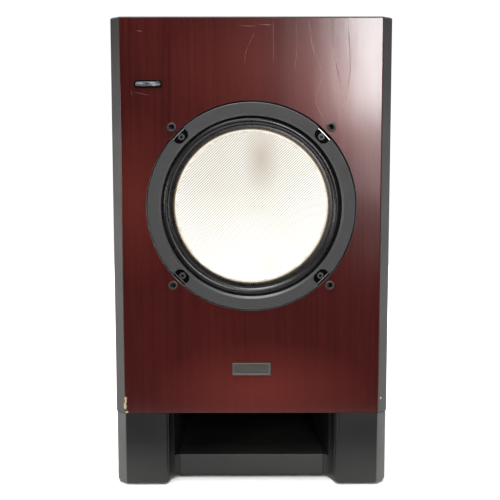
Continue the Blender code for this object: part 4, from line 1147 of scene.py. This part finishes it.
def cone():
    """Woven dish with a resin-rich rim, and the yarn ends that stick out round it."""
    steps, edge = 36, dish_depth(CONE_RIM)
    front = [(CONE_RIM * k / steps, dish_depth(CONE_RIM * k / steps)) for k in range(steps + 1)]
    back = [(r, depth + CONE_THICKNESS) for r, depth in front]
    rim = [
        (CONE_RIM, edge),
        (CONE_RIM + 0.0012, edge - 0.0004, 0.0008),
        (CONE_RADIUS - 0.0003, edge, 0.0006),
        (CONE_RADIUS - 0.0003, edge + CONE_THICKNESS),
    ]
    rim = soften(rim, steps=4, closed=False)[1:]
    dish = turned("cone_finished", front + rim + back[::-1], AXIS, 192, closed=False)
    paint(dish, "cone", "rim", choose=lambda middle, normal: from_axis(middle) > CONE_RIM)
    stand_for(dish, "cone")

    ends, middle = 220, edge + CONE_THICKNESS
    outline = []
    for k in range(2 * ends):
        a = math.pi * k / ends
        jitter = 0.00022 * math.sin(7.3 * k) + 0.00015 * math.sin(3.1 * k + 1)
        radius = CONE_RADIUS + (0.0012 + jitter if k % 2 else 0.0001)
        outline.append((radius * math.cos(a), radius * math.sin(a)))
    rings = []
    for share, depth in ((1, 0.0001), (1, 0.0004), (0.985, 0.0004), (0.985, 0.0001)):
        rings.append([AXIS + Vector((u * share, middle + depth, v * share)) for u, v in outline])
    fray = loft("cone_yarn_ends", rings, closed=True)
    extra(paint(fray, "fray"), "cone_assembly")


def spider():
    """Corrugated cloth disc that centres the coil."""
    steps = 60
    inner, outer = 0.0199, 0.0660
    line = []
    for k in range(steps + 1):
        radius = inner + (outer - inner) * k / steps
        swing = 0.0016 * min(1, (outer - radius) / 0.006) * math.sin(2 * math.pi * (radius - inner) / 0.0075)
        line.append((radius, 0.0520 + swing))
    back = [(r, s + 0.0007) for r, s in reversed(line)]
    disc = turned("spider_finished", line + back, AXIS, 96, smooth_angle=60)
    paint(disc, "cloth")
    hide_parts("spider")
    follow_cone(disc)


def tinsel_leads():
    """Two braided leads that sag from the terminal strip to the cone's neck."""
    route = [
        (0.0085, 0.0640, -0.0640),
        (0.0095, 0.0470, -0.0500),
        (0.0100, 0.0455, -0.0360),
        (0.0095, 0.0470, -0.0215),
    ]
    for side, name in ((-1, "left"), (1, "right")):
        places = [AXIS + Vector((side * x, y, z)) for x, y, z in route]
        lead = tube(f"tinsel_lead_{name}", places, 0.0007, 3, [1.0] * len(route))
        paint(lead, "copper")
        follow_cone(lead)


def motor():
    """Front plate, ring magnet, and yoke with its bored pole."""
    for node, finish in (("top_plate", "steel"), ("magnet", "ferrite"), ("yoke", "steel")):
        low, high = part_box(node)
        outer = (high.x - low.x) / 2
        near, far = low.y - FACE, high.y - FACE
        if node == "yoke":
            disc = far - 0.006
            pole = [(0.006, near), (0.0183, near, 0.0004), (0.0183, disc)]
            profile = [*pole, (outer, disc, 0.001), (outer, far, 0.0015), (0.006, far)]
        else:
            inner = 0.0211 if node == "top_plate" else 0.0280
            profile = [(inner, near), (outer, near, 0.0008), (outer, far, 0.0008), (inner, far)]
        piece = turned(node + "_finished", soften(profile, steps=4), AXIS, 96)
        stand_for(paint(piece, finish), node)


def woofer():
    trim_ring()
    basket()
    driver_screws()
    surround()
    cone()
    spider()
    tinsel_leads()
    motor()


# ---------------------------------------------------------------- amplifier


KNOB_PLACES = {node: node_middle(node) for node in ("level_knob", "cutoff_knob")}
JACK_LOW, JACK_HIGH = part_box("input_jack_block")
JACK_XS = [(JACK_LOW.x + JACK_HIGH.x) / 2 + side * 0.011 for side in (1, -1)]
JACK_Z = (JACK_LOW.z + JACK_HIGH.z) / 2


def amp_plate():
    """Folded steel plate with a rounded rim and an opening for each control."""
    size, middle = PLATE_HIGH - PLATE_LOW, (0, (PLATE_LOW.z + PLATE_HIGH.z) / 2)
    levels = []
    for reach, along in (
        (0, PLATE_LOW.y),
        (0, PLATE_FACE - 0.0008),
        (0.00025, PLATE_FACE - 0.0002),
        (0.0009, PLATE_FACE),
    ):
        levels.append((size.x - 2 * reach, size.z - 2 * reach, 0.004 - reach, along))
    plate = stacked("amp_plate_finished", middle, levels)
    outlines = [circle(0.0036, 40, (place.x, place.z)) for place in KNOB_PLACES.values()]
    outlines += [circle(0.0052, 48, (x, JACK_Z)) for x in JACK_XS]
    for k in range(1, 7):
        place = node_middle(f"amp_screw_{k}")
        outlines.append(circle(0.0019, 24, (place.x, place.z)))
    rooms = {"phase_switch_body": 0.0004, "power_switch_body": -0.0007, "power_inlet": -0.0007}
    for node, room in rooms.items():
        place, (near, far) = node_middle(node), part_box(node)
        width, height = far.x - near.x + 2 * room, far.z - near.z + 2 * room
        outlines.append(rounded_box(width, height, 0.0012, (place.x, place.z)))
    low, high = PLATE_LOW.y - 0.004, PLATE_FACE + 0.004
    cut(plate, *[prism("hole", outline, "Y", low, high) for outline in outlines])
    smooth(plate.data, 30)
    stand_for(paint(plate, "powder"), "amp_plate")


def scale_marks():
    """Printed ticks round the two rotary controls: eleven over 300 degrees, every fifth one longer."""
    marks = []
    low, high = PLATE_FACE - 0.0001, PLATE_FACE + 0.00012
    for place in KNOB_PLACES.values():
        for k in range(11):
            inner, outer, half = (0.0122, 0.0150, 0.00022) if k % 5 == 0 else (0.0122, 0.0138, 0.00014)
            corners = [(inner, -half), (outer, -half), (outer, half), (inner, half)]
            tick = prism("tick", corners, "Y", low, high)
            spin = Matrix.Rotation(math.radians(-150 + 30 * k) - math.pi / 2, 4, "Y")
            tick.data.transform(Matrix.Translation((place.x, 0, place.z)) @ spin)
            marks.append(tick)
    extra(paint(merge("scale_marks", marks), "print"), "cabinet")


def amp_screws():
    """Pan-head screws with a cross drive, each turned its own way."""
    radius, dome_height = 0.0032, 0.0018
    for k in range(1, 7):
        node = f"amp_screw_{k}"
        x, _, z = node_middle(node)
        place = Vector((x, PLATE_FACE, z))
        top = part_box(node)[1].y - PLATE_FACE
        seat = top - dome_height
        turns = (0.3, 0.6, 0.9, 1.15, 1.35, 1.5)
        dome = [(radius * math.sin(a), seat + dome_height * math.cos(a)) for a in turns]
        profile = [(0, top), *dome, (radius, seat), (0.0015, seat), (0.0015, -0.011), (0, -0.012)]
        screw = turned(node + "_finished", profile, place, 48, closed=False)
        cross = cross_recess((x, z, PLATE_FACE), 0.0036, (seat + 0.0006, 0.004), "Y")
        spin = Matrix.Translation(place) @ Matrix.Rotation(0.5 * k, 4, "Y") @ Matrix.Translation(-place)
        cross.data.transform(spin)
        cut(screw, cross)
        smooth(screw.data, 35)
        stand_for(paint(screw, "screw"), node)


def upright(place, half_width, low, high):
    """Corners of an upright bar, centred above the place."""
    u0, u1 = place.x - half_width, place.x + half_width
    return [(u0, place.z + low), (u1, place.z + low), (u1, place.z + high), (u0, place.z + high)]


def knob(node):
    """Ribbed cap with a crowned top, a skirt and an inlaid pointer; the shaft is part of it."""
    low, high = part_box(node)
    place = KNOB_PLACES[node]
    radius, ribs, steps = (high.x - low.x) / 2, 28, 6
    base, top = PLATE_FACE + 0.0022, high.y
    rings = []
    for share, along in (
        (1.00, base),
        (1.00, base + 0.0014),
        (0.955, base + 0.0020),
        (0.93, top - 0.0014),
        (0.90, top - 0.0005),
        (0.84, top),
    ):
        ring = []
        for k in range(ribs * steps):
            a = 2 * math.pi * k / (ribs * steps)
            groove = 0.0 if along < base + 0.0018 else 0.045 * (0.5 - 0.5 * math.cos(ribs * a)) ** 2
            reach = radius * (share - groove * (1 if along < top else 0.4))
            ring.append((place.x + reach * math.cos(a), along, place.z + reach * math.sin(a)))
        rings.append(ring)
    cap = loft(node + "_finished", rings, smooth_angle=40)
    middle = (place.x, place.z)
    hollow = prism("hollow", circle(0.0040, 32, middle), "Y", base - 0.004, base + 0.002)
    groove = prism("groove", upright(place, 0.0005, 0.0035, 0.0105), "Y", top - 0.0006, top + BEYOND)
    cut(cap, hollow, groove)
    shaft = prism("shaft", circle(0.0025, 24, middle), "Y", PLATE_FACE - 0.005, base + 0.0035)
    cap = merge(node + "_finished", [cap, shaft])
    smooth(cap.data, 40)
    stand_for(paint(cap, "plastic"), node)
    inlay = upright(place, 0.00045, 0.0036, 0.0081)
    pointer = prism(node + "_pointer", inlay, "Y", top - 0.0007, top - 0.0001)
    extra(paint(pointer, "print"), node)


def framed_well(node, shell, flange, well, well_depth):
    """A moulded frame: a shell through the plate, a rounded flange on it, and a well in its face."""
    rim, seat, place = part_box(node)[1].y, PLATE_FACE + 0.0003, node_middle(node)
    levels = []
    for (width, height, corner), along, less in (
        (shell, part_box(node)[0].y, 0),
        (shell, seat, 0),
        (flange, seat, 0),
        (flange, rim - 0.0006, 0),
        (flange, rim - 0.00015, 0.00025),
        (flange, rim, 0.0007),
        (well, rim, -0.0003),
        (well, rim - 0.0003, 0),
        (well, rim - well_depth, 0),
    ):
        levels.append((width - 2 * less, height - 2 * less, corner - less, along))
    piece = stacked(node + "_finished", (place.x, place.z), levels, 40)
    stand_for(paint(piece, "plastic"), node)


def rocker():
    """Tipped rocker with a dished face and two sunk marks, a bar and a ring."""
    low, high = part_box("power_rocker")
    x, _, z = node_middle("power_rocker")
    half, reach = (high.x - low.x) / 2, 0.0069
    face = [(0.0010 + 0.0016 * (1 - k / 10) ** 2, reach * (1 - k / 10)) for k in range(21)]
    outline = [(-0.0030, 0.0052), *face, (-0.0030, -0.0052)]
    body = prism("power_rocker_finished", outline, "X", -half, half)
    ease_edges(body, 0.00035, 3, 30)
    tip = Matrix.Translation((x, PLATE_FACE + 0.0006, z)) @ Matrix.Rotation(math.radians(7), 4, "X")
    body.data.transform(tip)
    stand_for(paint(body, "plastic"), "power_rocker")
    bar = prism("bar", upright(Vector((0, 0, 0)), 0.00025, 0.0028, 0.0050), "Y", 0.0005, 0.00192)
    section = [(0.0009, 0.0008), (0.0013, 0.0008), (0.0013, 0.00165), (0.0009, 0.00165)]
    ring = turned("ring", section, (0, 0, -0.0038), 32)
    marks = merge("power_rocker_marks", [bar, ring])
    marks.data.transform(tip)
    extra(paint(marks, "print"), "power_rocker")


def phase_slider():
    """Slider with three grooves across its face."""
    low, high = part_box("phase_slider")
    middle, half = node_middle("phase_slider"), (high.x - low.x) / 2
    top, bottom = high.y, high.y - 0.0006
    face = [(-half, bottom), (-half + 0.0002, top)]
    for x in (-0.0010, 0, 0.0010):
        face += [(x - 0.0003, top), (x - 0.0001, bottom), (x + 0.0001, bottom), (x + 0.0003, top)]
    face += [(half - 0.0002, top), (half, bottom), (half, low.y), (-half, low.y)]
    outline = [(middle.x + x, y) for x, y in face]
    slider = prism("phase_slider_finished", outline, "Z", low.z, high.z)
    ease_edges(slider, 0.0001, 2, 40)
    stand_for(paint(slider, "plastic"), "phase_slider")


def input_jacks():
    """Moulded block with two coaxial sockets: collar, plated shell, insulator and centre contact."""
    low, high = JACK_LOW, JACK_HIGH
    back, reach = PLATE_LOW.y - 0.0003, high.y - PLATE_FACE
    corners = [(low.x, low.z), (high.x, low.z), (high.x, high.z), (low.x, high.z)]
    block = prism("input_jack_block_finished", corners, "Y", low.y, back)
    ease_edges(block, 0.0005, 2)
    stand_for(paint(block, "plastic"), "input_jack_block")

    start, inside = back - PLATE_FACE, -0.001
    collar = [(0.0037, start), (0.0048, start), (0.0048, 0.0012, 0.0003), (0.0037, 0.0012)]
    shell = [(0.0036, 0.0004), (0.0041, 0.0004), (0.0041, reach, 0.0003), (0.0036, reach, 0.0002)]
    mouth = [(0.00355, reach - 0.0006), (0.0021, reach - 0.0006, 0.0002), (0.0017, reach - 0.0010)]
    core = [(0.0017, inside), (0.00355, inside), *mouth]
    contact = [(0.0014, inside), (0.00168, inside), (0.00168, reach - 0.002), (0.0014, reach - 0.002)]
    rings = {
        "collar": (soften(collar, steps=4), 64, "black_plastic"),
        "shell": (soften(shell, steps=4), 64, "aluminium"),
        "core": (soften(core, steps=3), 48, "black_plastic"),
        "contact": (contact, 32, "aluminium"),
    }
    for x, tint, side in zip(JACK_XS, ("red", "white"), ("right", "left")):
        for part, (profile, sides, slot) in rings.items():
            ring = turned(f"input_jack_{part}_{side}", profile, (x, PLATE_FACE, JACK_Z), sides)
            extra(paint(ring, "gold" if slot == "aluminium" else tint), "cabinet")


def inlet_pins():
    """Two round-nosed pins in the well of the power inlet."""
    x, _, z = node_middle("power_inlet")
    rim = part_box("power_inlet")[1].y
    start, end, radius = rim - 0.013, rim - 0.002, 0.0012
    profile = soften([(0, start), (radius, start), (radius, end, 0.0008), (0, end)], steps=4, closed=False)
    places = [(x + side * 0.0043, 0, z) for side in (-1, 1)]
    pins = [turned("pin", profile, place, 24, closed=False) for place in places]
    extra(paint(merge("power_inlet_pins", pins), "steel"), "cabinet")


def amplifier():
    amp_plate()
    scale_marks()
    amp_screws()
    eased_copy("heat_sink", "anodised", 0.0004, 2)
    for node in KNOB_PLACES:
        knob(node)
    # Each frame is a shell, a flange and a well, given as width, height and corner.
    switch = ((0.0128, 0.0188, 0.0006), (0.0150, 0.0210, 0.0012), (0.0100, 0.0160, 0.0003))
    framed_well("power_switch_body", *switch, 0.010)
    inlet = ((0.0216, 0.0146, 0.0020), (0.0240, 0.0170, 0.0030), (0.0160, 0.0084, 0.0040))
    framed_well("power_inlet", *inlet, 0.011)
    inlet_pins()
    rocker()
    phase_slider()
    eased_copy("phase_switch_body", "steel", 0.0002, 2)
    input_jacks()


# ---------------------------------------------------------------- stage


def area_light(name, place, target, size, power, tint=(1, 1, 1)):
    data = bpy.data.lights.new(name, "AREA")
    data.shape = "RECTANGLE"
    data.size, data.size_y = size
    data.energy = power
    data.color = tint
    lamp = placed(name, data)
    lamp.location = place
    lamp.rotation_euler = (Vector(target) - Vector(place)).to_track_quat("-Z", "Y").to_euler()


def pale_floor():
    """One plain sheet. It ends well short of the camera, so that the glossy front mirrors little of it."""
    half_width, front, back, thickness = 3.5, -0.44, 1.6, 0.02
    corners = [(-half_width, front), (half_width, front), (half_width, back), (-half_width, back)]
    floor = prism("floor", corners, "Z", -thickness, 0)
    surface = Finish("floor", roughness=0.8)
    surface.to("Base Color", surface.ramp(surface.noise(3, detail=3), (0.3, 0.90), (0.7, 0.93)))
    floor.data.materials.append(surface.material)


def surroundings():
    """White to the camera; to light and reflections, dark before the object and paler behind it."""
    world = bpy.data.worlds.new("studio")
    world.use_nodes = True
    bpy.context.scene.world = world
    sky = Nodes(world.node_tree)
    way = sky.add("SeparateXYZ", {0: sky.add("TexCoord").outputs["Generated"]}).outputs["Y"]
    depth = sky.add("MapRange", {"Value": way, "From Min": -0.35, "From Max": 0.75}).outputs[0]
    lit = sky.nodes["Background"]
    sky.feed(lit.inputs["Color"], sky.ramp(depth, (0.0, 0.04), (1.0, 0.6)))
    seen = sky.add("Background", {"Color": 1.0, "Strength": 1.05})
    by_camera = sky.add("LightPath").outputs["Is Camera Ray"]
    choice = sky.add("MixShader", {0: by_camera, 1: lit.outputs[0], 2: seen.outputs[0]})
    sky.feed(sky.nodes["World Output"].inputs["Surface"], choice.outputs[0])


def lights():
    """Soft lamps over and beside the object, and a window that the veneer mirrors at its upper right."""
    middle, upper_right = (0, FACE, 0.30), (0.12, FACE, 0.40)
    rosy = (1, 0.74, 0.75)
    area_light("key", (-0.45, -2.0, 2.1), middle, (1.3, 0.9), 25)
    area_light("overhead", (-0.15, -0.85, 2.3), middle, (0.9, 0.5), 36)
    area_light("window_top", (0.40, -2.2, 0.80), upper_right, (0.17, 0.70), 19)
    area_light("window_middle", (0.41, -2.2, 0.34), (0.12, FACE, 0.36), (0.15, 0.28), 2.0, rosy)
    area_light("window_low", (0.42, -2.2, 0.10), (0.12, FACE, 0.33), (0.13, 0.24), 0.25, rosy)
    area_light("window_side", (0.27, -2.2, 0.80), upper_right, (0.10, 0.70), 0.5, rosy)
    area_light("window_faint", (0.17, -2.2, 0.80), upper_right, (0.10, 0.70), 0.3, rosy)
    area_light("left_edge", (-1.5, -1.7, 0.36), (-0.12, FACE, 0.30), (0.22, 0.34), 8)
    area_light("left", (-1.8, -0.3, 0.20), (0, FACE, 0.10), (0.6, 0.5), 9)
    area_light("right", (1.8, -0.3, 0.25), (0, FACE, 0.15), (0.6, 0.6), 6)
    area_light("top", (0, 0.5, 2.6), (0, 0.5, 0), (2.8, 2.4), 140)


def stage():
    """Plain pale floor, white surroundings and soft lights."""
    pale_floor()
    bpy.context.scene.view_settings.view_transform = "Standard"
    surroundings()
    lights()


def camera():
    """In front of the object, a little off its middle, looking slightly down."""
    data = bpy.data.cameras.new("camera")
    data.lens = 66.1
    data.sensor_width = 36
    view = placed("camera", data)
    view.location = (-0.0034, FACE - 0.8990, 0.3372)
    pitch, roll, yaw = 90 - 6.20, 0.04, -0.13
    view.rotation_euler = [math.radians(turn) for turn in (pitch, roll, yaw)]
    bpy.context.scene.camera = view


# ---------------------------------------------------------------- assembly


def plain_nodes():
    """CAD solids whose shape is right already: they only take a finish."""
    finishes = {
        "driver_gasket": "pad_rubber",
        "coil_former": "aluminium",
        "voice_coil": "copper",
        "terminal_strip": "board",
        "main_board": "board",
        "transformer": "steel",
        "speaker_lead": "plastic",
        "level_control": "steel",
        "cutoff_control": "steel",
    }
    for node, finish in finishes.items():
        paint(frame["nodes"][node], finish)


def main():
    camera()
    stage()
    cabinet()
    plinth()
    grille_sockets()
    badges()
    woofer()
    amplifier()
    plain_nodes()


main()
